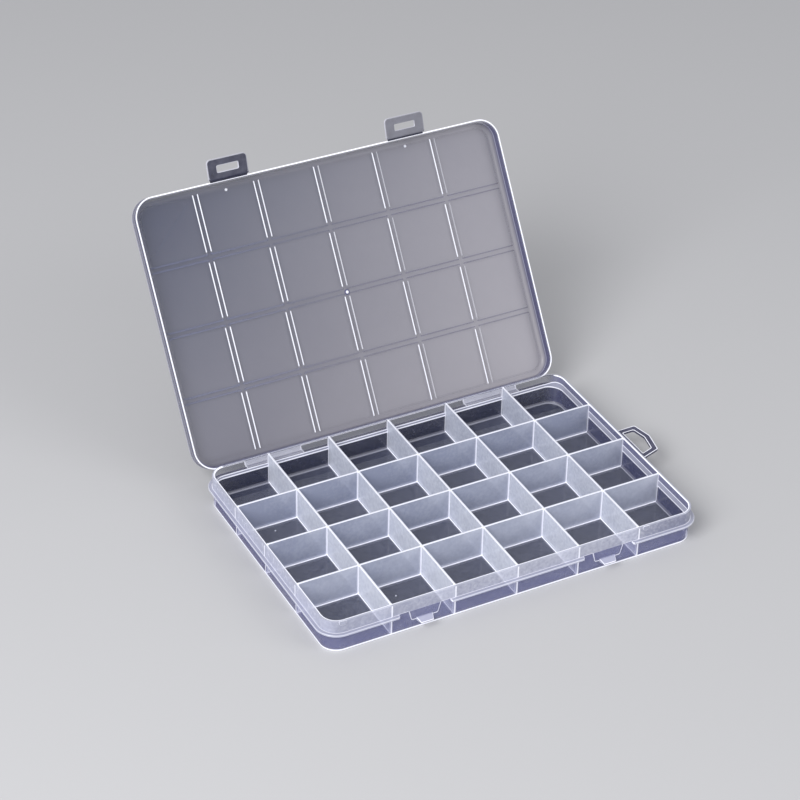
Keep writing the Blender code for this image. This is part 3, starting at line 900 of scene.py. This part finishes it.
def skirt_outer_finish():
    """Outer skin of the lid's skirt, darkened as painted shade, with painted highlight lines and a painted
    glow on its free edge and along its round.
    """
    plan, size = Plan(), sizes()
    finish = Finish("lid_outer_skin")
    x, z = finish.x, finish.z
    cloud = finish.noise(*SKIRT_CLOUD)
    haze = lid_haze(finish, cloud)
    out = finish.outset(*plan.rim) - (RIM_CLEARANCE + size.lid_skirt)
    end = z.fall(plan.lid_edge + 0.0001, plan.lid_edge + 0.0003)
    lip = end & out.ramp(-0.00070, -0.00055)
    left = x.fall(-0.092, -0.088)
    crown = z.near(0.0178 - left * 0.0003, 0.0004 + left * 0.0005, 0.0003)
    crown = crown & out.ramp(-0.0012, -0.0009)
    mark = lip | (crown * (0.85 - left * 0.35))
    base = mix(cloud * 0.3, "skirt_outer", paint("skirt_outer", 1.6))
    far = finish.far_side() & end
    base = mix(end, base, haze)
    # Painted shade on the free edge at the right and rear
    base = mix(far, base, "skirt_inner")
    base = mix(mark, base, "edge")
    alpha = mark.between(0.46 - end * 0.1 + far * 0.4, 0.95)
    glow = (lip * 0.30) | (crown * (0.5 - left * 0.35))
    return finish.close(base, alpha, 0.20 + cloud * 0.08, 0.5, cloud, glow=glow)


def skirt_inner_finish():
    """Inner skin of the lid's skirt, dark as painted shade where it looks back into the wall, with a faint
    painted highlight line there.
    """
    finish = Finish("lid_inner_skin")
    z = finish.z
    cloud = finish.noise(*SKIRT_CLOUD)
    deep = finish.far_side()
    base = mix(cloud * 0.3, "skirt_inner", paint("skirt_inner", 2.0))
    base = mix(z.ramp(0.0148, 0.0178), base, lid_haze(finish, cloud))
    line = z.near(0.0150, 0.0003, 0.0003) & deep
    base = mix(line * 0.25, base, "edge")
    round_part = z.ramp(0.0165, 0.0172)
    alpha = deep.between(0.12 + round_part * 0.58, 0.82 + cloud * 0.06)
    return finish.close(base, alpha, 0.22 + cloud * 0.08, 0.4, cloud)


def rib_finish():
    """Low ribs under the lid. The crests that run along the dividers carry painted highlight lines; the other
    crests carry painted shade lines on the right and a bluish painted light on the left.
    """
    plan, size = Plan(), sizes()
    finish = Finish("lid_rib")
    x, y, z = finish.x, finish.y, finish.z
    cloud = finish.noise(*LID_CLOUD)
    haze = lid_haze(finish, cloud)
    turn = x.beside_line(plan.pitch)
    beside_cross = abs(y.beside_line(plan.pitch))
    crest = z.fall(size.tray_height - RIB_DIP + 0.0001, size.tray_height - RIB_DIP + 0.0002)
    inner, inner_cross = x.within(INNER_X), y.within(INNER_Y)
    clear_of_cross = beside_cross.ramp(0.0018, 0.0030) | (1 - inner_cross)
    # Painted highlight lines on the crests along the dividers, dimmed right of each divider, the more towards
    # the right
    line = abs(turn).near(RIB_LINE, 0.00022, 0.00015) & crest & inner & clear_of_cross
    dim = turn.ramp(0, 0.0005) & x.ramp(-0.060, 0.060)
    line = line * (1 - dim * 0.5)
    left = x.fall(-0.060, 0.040)
    # Painted light: a bluish tint over the cross ribs on the left
    tint = beside_cross.fall(0.0017, 0.0020) & inner_cross & left
    cross = beside_cross.near(RIB_LINE, 0.00018, 0.0002) & inner_cross & crest
    reach_x, reach_y = plan.inner_x - RIB_RIM_CLEARANCE, plan.inner_y - RIB_RIM_CLEARANCE
    out = finish.outset(reach_x, reach_y, plan.rib_corner)
    ring = abs(out + size.rib_wall / 2).near(size.rib_wall / 2 - 0.0001, 0.00008, 0.0001) & crest
    # Painted shade lines on the cross crests and the ring, mainly on the right
    thin = (cross | (ring * 0.5)) * (1 - left * 0.8)
    base = mix(tint * 0.6, haze, "rib_blue")
    base = mix(thin, base, "skirt_inner")
    base = mix(line, base, "edge")
    alpha = (0.03 + tint * 0.26) | (thin * 0.42) | (line * 0.86)
    return finish.close(base, alpha, 0.3 + cloud * 0.1, 0.35, glow=line * 0.3)


def clear_finish(name, body, share_solid):
    """Clear plastic with a slightly cloudy middle, for the small parts."""
    finish = Finish(name)
    cloud = finish.noise(*SMALL_CLOUD)
    base = mix((cloud - 0.3) * 0.25, body, "wall_high")
    return finish.close(base, share_solid + cloud * 0.08, 0.25 + cloud * 0.1, 0.4, cloud)


def tab_finish(name, body, line_share, slot_share):
    """Clear plastic of a snap tab, with painted highlight lines along its outline and round its slot, and a
    painted glow.
    """
    finish = Finish(name)
    y, z = finish.y, finish.z
    cloud = finish.noise(*SMALL_CLOUD)
    half_high = (TAB_LENGTH + TAB_ROOT) / 2
    out = finish.outset(TAB_WIDTH / 2, half_high, TAB_TIP_CORNER, TAB_ROOT - half_high)
    away_from_root = z.fall(TAB_ROOT - 0.0014, TAB_ROOT - 0.0006)
    line = (out.ramp(-0.00050, -0.00035) & away_from_root) * line_share
    past = finish.outset(SLOT_WIDTH / 2, SLOT_HEIGHT / 2, SLOT_CORNER, SLOT_HEIGHT / 2 - SLOT_END)
    mark = line | (past.fall(0.00022, 0.00036) * slot_share)
    outside = y.fall(0.0003, 0.0005)
    base = mix((cloud - 0.3) * 0.25, body, "wall_high")
    base = mix(outside, base, "outside")
    base = mix(mark, base, "edge")
    alpha = outside.between(TAB_INSIDE_MILK, TAB_OUTSIDE_MILK) | mark
    return finish.close(base, alpha, 0.25 + cloud * 0.1, 0.4, cloud, glow=mark * 0.2)


def strap_finish():
    """Film hinge, whitened where it has been folded, with painted highlights and a painted glow on its ends
    and a painted shade line along the ledge's edge.
    """
    plan = Plan()
    finish = Finish("hinge_film")
    x, y = finish.x, finish.y
    cloud = finish.noise(240, 3, 0.6, (0.3, 1, 1))
    fold = y.near(plan.hinge.y + 0.0002, 0.00015, 0.0002)
    ends = abs(abs(x) - STRAP_OFFSET).near(sizes().strap_length / 2 - 0.0002, 0.00025, 0.0001)
    mark = (fold * 0.5) | ends
    # Painted shade line in the crease along the ledge's edge
    crease_painted_shade = y.near(plan.ledge_y + 0.00015, 0.00020, 0.00010) & (1 - ends)
    base = mix((cloud * 0.35) | mark, "strap", "edge")
    base = mix(crease_painted_shade * 0.6, base, "skirt_inner")
    return finish.close(base, 0.74 + mark * 0.2, 0.28 + cloud * 0.1, 0.4, cloud, glow=ends * 0.2)


def gate_finish():
    """Spot where the plastic was let into the mould."""
    finish = Finish("gate_mark")
    middle = finish.node("ShaderNodeVectorMath", {"operation": "LENGTH"}, {0: finish.where}, "Value")
    base = mix(middle.ramp(0.0007, 0.0009), "edge", "skirt_inner")
    return finish.close(base, 0.95, 0.35 + finish.noise(800, 2) * 0.1, 0.4)


def tray_profile(plan, size):
    """Offsets outward from the rim's outer face, and levels, from the base up and in to the floor."""
    rim_level = size.tray_height - RIM_ROUND
    floor_round = (-size.rim_wall - FLOOR_ROUND, size.tray_floor + FLOOR_ROUND)
    return [
        *arc((-WALL_STEP - BASE_ROUND, BASE_ROUND), BASE_ROUND, -pi / 2),
        (-WALL_STEP, plan.ledge_base),
        (LEDGE_REACH - LEDGE_EDGE, plan.ledge_base),
        (LEDGE_REACH, plan.ledge_base + LEDGE_EDGE),
        (LEDGE_REACH, size.ledge_top - LEDGE_EDGE),
        (LEDGE_REACH - LEDGE_EDGE, size.ledge_top),
        (0, size.ledge_top),
        *arc((-RIM_ROUND, rim_level), RIM_ROUND, 0),
        *arc((RIM_ROUND - size.rim_wall, rim_level), RIM_ROUND, pi / 2),
        *reversed(arc(floor_round, FLOOR_ROUND, -pi / 2)),
    ]


def break_mesh(name, middle, plan, size):
    """The cut that opens the ledge at one latch."""
    wall = WALL_STEP - plan.rim_y
    edge = -plan.ledge_y
    half = LEDGE_BREAK / 2
    round_x = half + BREAK_CORNER
    left = arc((middle - round_x, edge + BREAK_CORNER), BREAK_CORNER, 1.5 * pi)
    right = [(2 * middle - x, y) for x, y in reversed(left)]
    points = [(middle - round_x, edge - OVERRUN), *left, (middle - half, wall), (middle + half, wall)]
    points += [*right, (middle + round_x, edge - OVERRUN)]
    return loft(name, ((points, plan.ledge_base - OVERRUN), (points, size.ledge_top)))


def tongue_mesh(name, middle, plan, size):
    """The smooth tongue that brings the upper wall's face down behind a snap tab."""
    top = size.ledge_top + OVERRUN
    foot = size.ledge_top - TONGUE_DROP
    half_foot = TONGUE_FOOT_WIDTH / 2
    half_top = half_foot + TONGUE_FLARE * (top - foot)
    corner, low = half_foot - TONGUE_CORNER, foot + TONGUE_CORNER
    outline = [(middle - half_top, top)]
    outline += arc((middle - corner, low), TONGUE_CORNER, pi, 3)
    outline += arc((middle + corner, low), TONGUE_CORNER, 1.5 * pi, 3)
    outline.append((middle + half_top, top))
    return stand_up(name, outline, -plan.rim_y, -(plan.inner_y + size.rim_wall / 2))


class BEADBOX_OT_tray_shell(Operator):
    """Build the tray's floor, walls and ledge, with both latch places"""

    bl_idname = "bead_box.tray_shell"
    bl_label = "Tray shell"

    def execute(self, context):
        plan, size = Plan(), sizes()
        changes = []
        for side, sign in SIDES:
            middle = sign * LATCH_OFFSET
            changes.append(("DIFFERENCE", break_mesh("ledge_break_" + side, middle, plan, size)))
            changes.append(("UNION", tongue_mesh("tongue_" + side, middle, plan, size)))
        mesh = combined(shell("tray_shell_wall", plan, tray_profile(plan, size)), changes)
        # Edge faces, such as the sides of the ledge's breaks and of the tongues, take the painted highlight
        # of edge_finish
        outer, inner, rim, floor, ledge, edge = range(6)

        def rule(middle, normal):
            out = outset(middle, *plan.rim)
            steep = abs(normal.z) < STEEP
            if middle.z > size.tray_height - RIM_ROUND:
                return rim
            if out < -size.rim_wall and middle.z < size.tray_floor + FLOOR_ROUND and abs(normal.z) > LEVEL:
                return floor
            if out > WALL_STEP / 4:
                return edge if steep and out < LEDGE_REACH - LEDGE_EDGE else ledge
            if out < -size.rim_wall / 2 - WALL_STEP / 2 and middle.z > BASE_ROUND:
                return inner
            across = abs(normal.x) if abs(middle.x) < plan.inner_x - size.rim_corner else 0
            if middle.z > BASE_ROUND and (across > STEEP or not steep):
                return edge
            return outer

        sort_faces(mesh, rule)
        makers = (outer_wall_finish, inner_wall_finish, rim_finish, floor_finish, ledge_finish, edge_finish)
        materials = [make() for make in makers]
        show("tray_shell_wall", mesh, materials, "tray", ["tray_shell"])
        return {"FINISHED"}


def build_divider(name, low, high, size, look):
    """One fixed wall between two corners of its plan."""
    outline = (low, (high[0], low[1]), high, (low[0], high[1]))
    mesh = loft(name, ((outline, size.tray_floor - SUNK), (outline, size.tray_height)))
    soften(show(name + "_wall", mesh, [look], "tray", [name]), DIVIDER_ROUND, 3)


class BEADBOX_OT_dividers(Operator):
    """Build the fixed walls between the compartments"""

    bl_idname = "bead_box.dividers"
    bl_label = "Dividers"

    def execute(self, context):
        plan, size = Plan(), sizes()
        half = size.divider_wall / 2
        reach = plan.inner_y + SUNK
        # The long dividers take a lit copy and the cross dividers a shaded copy: painted light and shade
        long_look = divider_finish("long_divider_milk", "y", plan.inner_y)
        cross_look = divider_finish("cross_divider_milk", "x", plan.inner_x)
        for index in range(COLUMNS - 1):
            line = plan.line(index, COLUMNS)
            name = "long_divider_" + str(index + 1)
            build_divider(name, (line - half, -reach), (line + half, reach), size, long_look)
        for column in range(COLUMNS):
            left = plan.line(column - 1, COLUMNS) + half if column else -plan.inner_x
            right = plan.line(column, COLUMNS) - half if column < COLUMNS - 1 else plan.inner_x
            for row in range(ROWS - 1):
                line = plan.line(row, ROWS)
                name = "cross_divider_" + str(row + 1) + "_" + str(column + 1)
                low, high = (left - SUNK, line - half), (right + SUNK, line + half)
                build_divider(name, low, high, size, cross_look)
        return {"FINISHED"}


def catch_mesh(name, middle, plan):
    """The wedge that a snap tab's slot drops over."""
    rings = []
    for y, half, height in (
        (-plan.rim_y + SUNK, CATCH_ROOT_WIDTH / 2, CATCH_ROOT_HEIGHT),
        (-CATCH_TIP, CATCH_TIP_WIDTH / 2, CATCH_TIP_HEIGHT),
    ):
        left, right, top = middle - half, middle + half, CATCH_BASE + height
        rings.append([(left, y, CATCH_BASE), (right, y, CATCH_BASE), (right, y, top), (left, y, top)])
    return solid(name, rings)


class BEADBOX_OT_catches(Operator):
    """Build the wedge catches on the tray's front wall"""

    bl_idname = "bead_box.catches"
    bl_label = "Latch catches"

    def execute(self, context):
        plan = Plan()
        materials = [clear_finish("catch_plastic", "ledge", 0.85), edge_finish()]
        for side, sign in SIDES:
            name = "latch_catch_" + side
            mesh = catch_mesh(name, sign * LATCH_OFFSET, plan)
            item = show(name + "_wedge", mesh, materials, "tray", [name])
            # The wedge's rounded edges take the painted highlight of edge_finish
            soften(item, SMALL_ROUND, 2, 1)
        return {"FINISHED"}


def inset_outline(outline, insets):
    """Move each side of an outline that turns left inward by its own distance."""
    sides = []
    for index, start in enumerate(outline):
        end = outline[(index + 1) % len(outline)]
        along = (Vector(end) - Vector(start)).normalized()
        inward = Vector((-along.y, along.x))
        sides.append((Vector(start) + inward * insets[index], along))
    points = []
    for index, (start, along) in enumerate(sides):
        before_start, before_along = sides[index - 1]
        reach = (start - before_start).cross(along) / before_along.cross(along)
        points.append(tuple(before_start + before_along * reach))
    return points


def soften_corners(outline, radius, steps):
    """Replace each corner of an outline by a small round."""
    points = []
    for index, corner in enumerate(outline):
        before = (Vector(outline[index - 1]) - Vector(corner)).normalized()
        after = (Vector(outline[(index + 1) % len(outline)]) - Vector(corner)).normalized()
        for step in range(steps + 1):
            part = step / steps
            points.append(tuple(Vector(corner) + (before * (1 - part) ** 2 + after * part ** 2) * radius))
    return points


class BEADBOX_OT_hanging_loop(Operator):
    """Build the flat loop that the box hangs by"""

    bl_idname = "bead_box.hanging_loop"
    bl_label = "Hanging loop"

    def execute(self, context):
        plan, size = Plan(), sizes()
        outline = [(plan.ledge_x + reach, y) for reach, y in LOOP_OUTLINE]
        root = plan.ledge_x - SUNK
        rings = []
        for bar, root_bar in (
            (0, 0),
            (LOOP_LINE, LOOP_LINE),
            (LOOP_BAR - LOOP_LINE, LOOP_BAND - LOOP_LINE),
            (LOOP_BAR, LOOP_BAND),
        ):
            ring = inset_outline(outline, (bar, bar, bar, bar, root_bar))
            if bar <= LOOP_LINE:
                ring[0], ring[-1] = (root, ring[0][1]), (root, ring[-1][1])
            rings.append(soften_corners(ring, LOOP_CORNER, ROUND_STEPS))
        levels = [(ring, size.ledge_top) for ring in rings]
        levels += [(ring, plan.ledge_base) for ring in reversed(rings)]
        form = bmesh.new()
        strips = skin(form, lift(levels), closed=True)
        # The two outline bands on the loop's top take the painted highlight of edge_finish
        for face in strips[0] + strips[2]:
            face.material_index = 1
        mesh = finish_mesh("hanging_loop_band", form)
        materials = [clear_finish("loop_plastic", "loop", 0.82), edge_finish()]
        item = show("hanging_loop_band", mesh, materials, "tray", ["hanging_loop"])
        soften(item, SMALL_ROUND)
        return {"FINISHED"}


def lid_profile(plan, size):
    """Offsets and levels from under the plate down inside the skirt, round its edge and up to the top."""
    outside = RIM_CLEARANCE + size.lid_skirt
    inner_round = (RIM_CLEARANCE - LID_INNER_ROUND, LID_INSIDE - LID_INNER_ROUND)
    outer_round = (outside - LID_ROUND, plan.lid_top - LID_ROUND)
    return [
        *reversed(arc(inner_round, LID_INNER_ROUND, 0)),
        (RIM_CLEARANCE, plan.lid_edge),
        (outside, plan.lid_edge),
        *arc(outer_round, LID_ROUND, 0),
    ]


class BEADBOX_OT_lid_shell(Operator):
    """Build the lid's plate and skirt"""

    bl_idname = "bead_box.lid_shell"
    bl_label = "Lid shell"

    def execute(self, context):
        plan, size = Plan(), sizes()
        mesh = shell("lid_shell_wall", plan, lid_profile(plan, size))
        plate, outside, inside = range(3)

        def rule(middle, normal):
            if abs(normal.z) > LEVEL and middle.z > LID_INSIDE - LID_INNER_ROUND:
                return plate
            if middle.z > LID_INSIDE + 0.0001 or outset(middle, *plan.rim) > RIM_CLEARANCE + 0.0002:
                return outside
            return inside

        sort_faces(mesh, rule)
        materials = [lid_finish(), skirt_outer_finish(), skirt_inner_finish()]
        show("lid_shell_wall", mesh, materials, "lid", ["lid_shell"], plan.lid_place)
        return {"FINISHED"}


def rib_span(index, count, inner_half, plan, size):
    """Outer limits of one rib ring along one direction of the tray."""
    beside = size.divider_wall / 2 + RIB_DIVIDER_CLEARANCE
    low = plan.line(index - 1, count) + beside if index else RIB_RIM_CLEARANCE - inner_half
    last = index == count - 1
    high = inner_half - RIB_RIM_CLEARANCE if last else plan.line(index, count) - beside
    return low, high


class BEADBOX_OT_lid_ribs(Operator):
    """Build the low rib rings under the lid, one above each compartment"""

    bl_idname = "bead_box.lid_ribs"
    bl_label = "Lid ribs"

    def execute(self, context):
        plan, size = Plan(), sizes()
        wall, low, high = size.rib_wall, size.tray_height - RIB_DIP, LID_INSIDE + SUNK
        corner_cells = ((0, 0), (COLUMNS - 1, 0), (COLUMNS - 1, ROWS - 1), (0, ROWS - 1))
        form = bmesh.new()
        for column in range(COLUMNS):
            left, right = rib_span(column, COLUMNS, plan.inner_x, plan, size)
            for row in range(ROWS):
                front, back = rib_span(row, ROWS, plan.inner_y, plan, size)
                radii = [plan.rib_corner if (column, row) == spot else RIB_CORNER for spot in corner_cells]
                outer = rounded_box((left, front), (right, back), radii)
                radii = [max(radius - wall, RIB_INNER_CORNER) for radius in radii]
                inner = rounded_box((left + wall, front + wall), (right - wall, back - wall), radii)
                skin(form, lift(((outer, low), (outer, high), (inner, high), (inner, low))), closed=True)
        mesh = finish_mesh("lid_rib_rings", form)
        show("lid_rib_rings", mesh, [rib_finish()], "lid", [], plan.lid_place)
        return {"FINISHED"}


def strap_path(plan, size):
    """Middle line of a film hinge and its thickness, from in the ledge round the axis into the skirt."""
    hinge = plan.hinge
    turn = Matrix.Rotation(-LID_OPENING, 3, "X")
    path = []
    for reach in STRAP_ON_TRAY:
        path.append((Vector((0, plan.ledge_y + reach, hinge.z - FILM_RADIUS)), size.strap_wall))
    for step in range(STRAP_STEPS + 1):
        angle = (pi - LID_OPENING) * step / STRAP_STEPS - pi / 2
        path.append((hinge + Vector((0, cos(angle), sin(angle))) * FILM_RADIUS, size.fold_wall))
    for reach in STRAP_ON_LID:
        path.append((hinge + turn @ Vector((0, -reach, FILM_RADIUS)), size.strap_wall))
    return path


def strap_mesh(name, middle, path, length):
    """A film hinge as a closed strip along its path."""
    over, under = [], []
    for index, (spot, wall) in enumerate(path):
        before = path[max(index - 1, 0)][0]
        after = path[min(index + 1, len(path) - 1)][0]
        along = (after - before).normalized()
        across = Vector((0, -along.z, along.y)) * wall / 2
        over.append(spot + across)
        under.append(spot - across)
    section = under + over[::-1]
    places = [middle + part * length / 2 for part in (-1, -1 / 3, 1 / 3, 1)]
    return solid(name, [[(x, point.y, point.z) for point in section] for x in places])


class BEADBOX_OT_hinge_straps(Operator):
    """Build both film hinges between the tray and the lid"""

    bl_idname = "bead_box.hinge_straps"
    bl_label = "Film hinges"

    def execute(self, context):
        size = sizes()
        path = strap_path(Plan(), size)
        look = strap_finish()
        for side, sign in SIDES:
            name = "hinge_strap_" + side
            mesh = strap_mesh(name, sign * STRAP_OFFSET, path, size.strap_length)
            nodes = ["tray_hinge_leaf_" + side, "lid_hinge_leaf_" + side]
            item = show(name, mesh, [look], None, nodes)
            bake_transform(item)
        return {"FINISHED"}


def tab_outline():
    """Front view of a snap tab that hangs from its hinge axis."""
    half = TAB_WIDTH / 2
    right = arc((half - TAB_TIP_CORNER, TAB_TIP_CORNER - TAB_LENGTH), TAB_TIP_CORNER, 1.5 * pi, 6)
    right += arc((half - TAB_ROOT_CORNER, TAB_ROOT - TAB_ROOT_CORNER), TAB_ROOT_CORNER, 0)
    return right + [(-x, z) for x, z in reversed(right)]


def tab_film_path(plan, sign):
    """Points of the film between the lid's edge and a snap tab, on the closed lid."""
    axis = plan.tab_axis(sign)
    knee = axis + Vector(TAB_FILM_KNEE)
    end = axis + Matrix.Rotation(-TAB_FOLD, 3, "X") @ Vector(TAB_FILM_END)
    return [axis + Vector(TAB_FILM_START), knee, (knee + end) / 2, end]


def tab_film_mesh(name, path, place):
    """The short film along its path."""
    x, y = TAB_WIDTH / 2 - TAB_ROOT_CORNER, TAB_FILM_WALL / 2
    section = [Vector(corner) for corner in ((-x, -y, 0), (x, -y, 0), (x, y, 0), (-x, y, 0))]
    return solid(name, [[place @ (spot + corner) for corner in section] for spot in path])


class BEADBOX_OT_snap_tabs(Operator):
    """Build both snap tabs and the films that they bend on"""

    bl_idname = "bead_box.snap_tabs"
    bl_label = "Snap tabs"

    def execute(self, context):
        plan, size = Plan(), sizes()
        slot_low, slot_high = (-SLOT_WIDTH / 2, -SLOT_END), (SLOT_WIDTH / 2, SLOT_HEIGHT - SLOT_END)
        slot_outline = rounded_box(slot_low, slot_high, [SLOT_CORNER] * 4)
        edge = clear_finish("tab_edge", "tab_edge", 0.80)
        film = clear_finish("tab_film", "tab_left", 0.80)
        for side, sign in SIDES:
            name, film_name, body = "latch_tab_" + side, "tab_film_" + side, side + "_tab"
            plate = stand_up(name + "_plate", tab_outline(), 0, size.tab_wall)
            hole = stand_up("slot_" + side, slot_outline, -OVERRUN, size.tab_wall + OVERRUN)
            mesh = combined(plate, [("DIFFERENCE", hole)])
            sort_faces(mesh, lambda middle, normal: 0 if max(abs(normal.y), normal.z) > TAB_FACE else 1)
            # Each tab takes its own lit or shaded copy of the plastic: painted light and shade
            look = tab_finish("tab_plastic_" + side, "tab_" + side, *TAB_HIGHLIGHT_LINES[side])
            item = show(name + "_plate", mesh, [look, edge], body, [name], plan.tab_place(sign))
            soften(item, SMALL_ROUND)
            path = tab_film_path(plan, sign)
            mesh = tab_film_mesh(film_name, path, plan.lid_place)
            item = show(film_name, mesh, [film], None, [])
            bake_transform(item)
        return {"FINISHED"}


def stop_mesh(name, x, plan, corner):
    """A low stop on the front wall, which follows the round of the rim's corner."""
    half, foot_round = STOP_WIDTH / 2, STOP_FOOT_ROUND * STOP_WIDTH
    radii = [foot_round, foot_round, STOP_TOP_ROUND, STOP_TOP_ROUND]
    outline = rounded_box((x - half, STOP_LEVEL), (x + half, STOP_LEVEL + STOP_HEIGHT), radii)
    mesh = stand_up(name, outline, -plan.rim_y - STOP_RISE, -plan.rim_y + STOP_RISE)
    for vertex in mesh.vertices:
        past = max(abs(vertex.co.x) - (plan.rim_x - corner), 0)
        vertex.co.y += corner - sqrt(corner ** 2 - past ** 2)
    return mesh


def round_mark(name, spot, radius, rise, look, lid_place=None):
    """A low round mark with a softened top, on the tray's floor or turned over under the lid."""
    levels = []
    for share_out, share_up in MARK_PROFILE:
        reach = radius * share_out
        levels.append((rounded_box((-reach, -reach), (reach, reach), [reach] * 4), rise * share_up))
    mesh = loft(name, levels)
    place = Matrix.Translation(Vector(spot))
    if lid_place:
        show(name, mesh, [look], "lid", [], lid_place @ place @ Matrix.Rotation(pi, 4, "X"))
    else:
        show(name, mesh, [look], "tray", [], place)


class BEADBOX_OT_mould_marks(Operator):
    """Build the small marks of the mould: stops on the front wall, ejector pips and the gate"""

    bl_idname = "bead_box.mould_marks"
    bl_label = "Mould marks"

    def execute(self, context):
        plan, size = Plan(), sizes()
        # The pips take the painted highlight's colour; the stops' rounded edges take edge_finish
        pip = clear_finish("pip_plastic", "edge", 0.9)
        materials = [clear_finish("stop_plastic", "ledge_edge", 0.4), edge_finish()]
        for number, x in enumerate(STOP_PLACES, 1):
            name = "lid_stop_" + str(number)
            mesh = stop_mesh(name, x, plan, size.rim_corner)
            soften(show(name, mesh, materials, "tray", []), STOP_ROUND, 2, 1)
        for number, spot in enumerate(FLOOR_PIPS, 1):
            name = "floor_pip_" + str(number)
            round_mark(name, (*spot, size.tray_floor), FLOOR_PIP_RADIUS, PIP_RISE, pip)
        for number, spot in enumerate(LID_PIPS, 1):
            name = "lid_pip_" + str(number)
            round_mark(name, (*spot, LID_INSIDE), LID_PIP_RADIUS, PIP_RISE, pip, plan.lid_place)
        round_mark("gate_mark", (*GATE, LID_INSIDE), GATE_RADIUS, GATE_RISE, gate_finish(), plan.lid_place)
        return {"FINISHED"}


def table_finish(shade):
    """Plain pale table."""
    finish = Finish("pale_table")
    cloud = finish.noise(3, 2)
    base = mix(cloud * 0.5, shade, paint(shade, 0.97))
    return finish.close(base, 1.0, 0.75 + cloud * 0.1, 0.15)


def soft_light(name, spot, power):
    """One square soft light aimed at the box."""
    data = bpy.data.lights.new(name, "AREA")
    data.shape = "SQUARE"
    data.size = LIGHT_SIDE
    data.energy = power
    lamp = bpy.data.objects.new(name, data)
    bpy.context.scene.collection.objects.link(lamp)
    lamp.location = spot
    lamp.rotation_mode = "QUATERNION"
    lamp.rotation_quaternion = (Vector(LIGHT_AIM) - Vector(spot)).to_track_quat("-Z", "Y")


def photo_camera(stage):
    """The camera at the photograph's place."""
    data = bpy.data.cameras.new("photo_camera")
    data.sensor_width = SENSOR
    data.lens = stage.focal_length
    data.clip_start, data.clip_end = CLIP
    out = Vector((sin(AZIMUTH) * cos(ELEVATION), -cos(AZIMUTH) * cos(ELEVATION), sin(ELEVATION)))
    right = (-out).cross(Vector((0, 0, 1))).normalized()
    up = right.cross(-out)
    camera = bpy.data.objects.new("photo_camera", data)
    bpy.context.scene.collection.objects.link(camera)
    turn = Matrix((right, up, out)).transposed() @ Matrix.Rotation(ROLL, 3, "Z")
    camera.matrix_world = Matrix.Translation(Vector(AIM) + out * DISTANCE) @ turn.to_4x4()
    bpy.context.scene.camera = camera


class BEADBOX_OT_stage(Operator):
    """Set the table, the light and the camera"""

    bl_idname = "bead_box.stage"
    bl_label = "Table, light and camera"

    def execute(self, context):
        scene = context.scene
        stage = scene.bead_box_stage
        form = bmesh.new()
        half = TABLE_HALF
        corners = ((-half, -half), (half, -half), (half, half), (-half, half))
        form.faces.new([form.verts.new((x, y, 0)) for x, y in corners])
        mesh = finish_mesh("table_top", form)
        mesh.materials.append(table_finish(stage.table))
        table = bpy.data.objects.new("table_top", mesh)
        scene.collection.objects.link(table)
        soft_light("key_light", KEY_LIGHT, stage.key_power)
        soft_light("fill_light", FILL_LIGHT, stage.fill_power)
        world = bpy.data.worlds.new("room")
        world.use_nodes = True
        background = world.node_tree.nodes["Background"]
        background.inputs["Color"].default_value = ROOM_COLOUR
        background.inputs["Strength"].default_value = stage.sky
        scene.world = world
        scene.view_settings.view_transform = "Standard"
        scene.cycles.transparent_max_bounces = CLEAR_LAYERS
        photo_camera(stage)
        return {"FINISHED"}


class BEADBOX_PT_panel(Panel):
    """Sizes, colours and build steps of the bead storage box"""

    bl_idname = "BEADBOX_PT_panel"
    bl_label = "Bead storage box"
    bl_space_type = "VIEW_3D"
    bl_region_type = "UI"
    bl_category = "Bead box"

    def draw(self, context):
        for group, kind in GROUPS:
            column = self.layout.column()
            for name in kind.__annotations__:
                column.prop(getattr(context.scene, group), name)
        for step in STEPS:
            self.layout.operator(step.bl_idname)


STEPS = (
    BEADBOX_OT_tray_shell,
    BEADBOX_OT_dividers,
    BEADBOX_OT_catches,
    BEADBOX_OT_hanging_loop,
    BEADBOX_OT_lid_shell,
    BEADBOX_OT_lid_ribs,
    BEADBOX_OT_hinge_straps,
    BEADBOX_OT_snap_tabs,
    BEADBOX_OT_mould_marks,
    BEADBOX_OT_stage,
)
GROUPS = (("bead_box_sizes", BoxSizes), ("bead_box_shades", BoxShades), ("bead_box_stage", BoxStage))
CLASSES = (BoxSizes, BoxShades, BoxStage, *STEPS, BEADBOX_PT_panel)


def register():
    """Make the classes and the scene's settings known."""
    for kind in CLASSES:
        bpy.utils.register_class(kind)
    for group, kind in GROUPS:
        setattr(bpy.types.Scene, group, PointerProperty(type=kind))


def unregister():
    """Forget the scene's settings and the classes."""
    for group, _ in GROUPS:
        delattr(bpy.types.Scene, group)
    for kind in reversed(CLASSES):
        bpy.utils.unregister_class(kind)


def main():
    """Build every piece and the stage."""
    register()
    bpy.ops.bead_box.tray_shell()
    bpy.ops.bead_box.dividers()
    bpy.ops.bead_box.catches()
    bpy.ops.bead_box.hanging_loop()
    bpy.ops.bead_box.lid_shell()
    bpy.ops.bead_box.lid_ribs()
    bpy.ops.bead_box.hinge_straps()
    bpy.ops.bead_box.snap_tabs()
    bpy.ops.bead_box.mould_marks()
    bpy.ops.bead_box.stage()
    bpy.context.view_layer.update()


if __name__ == "__main__":
    main()
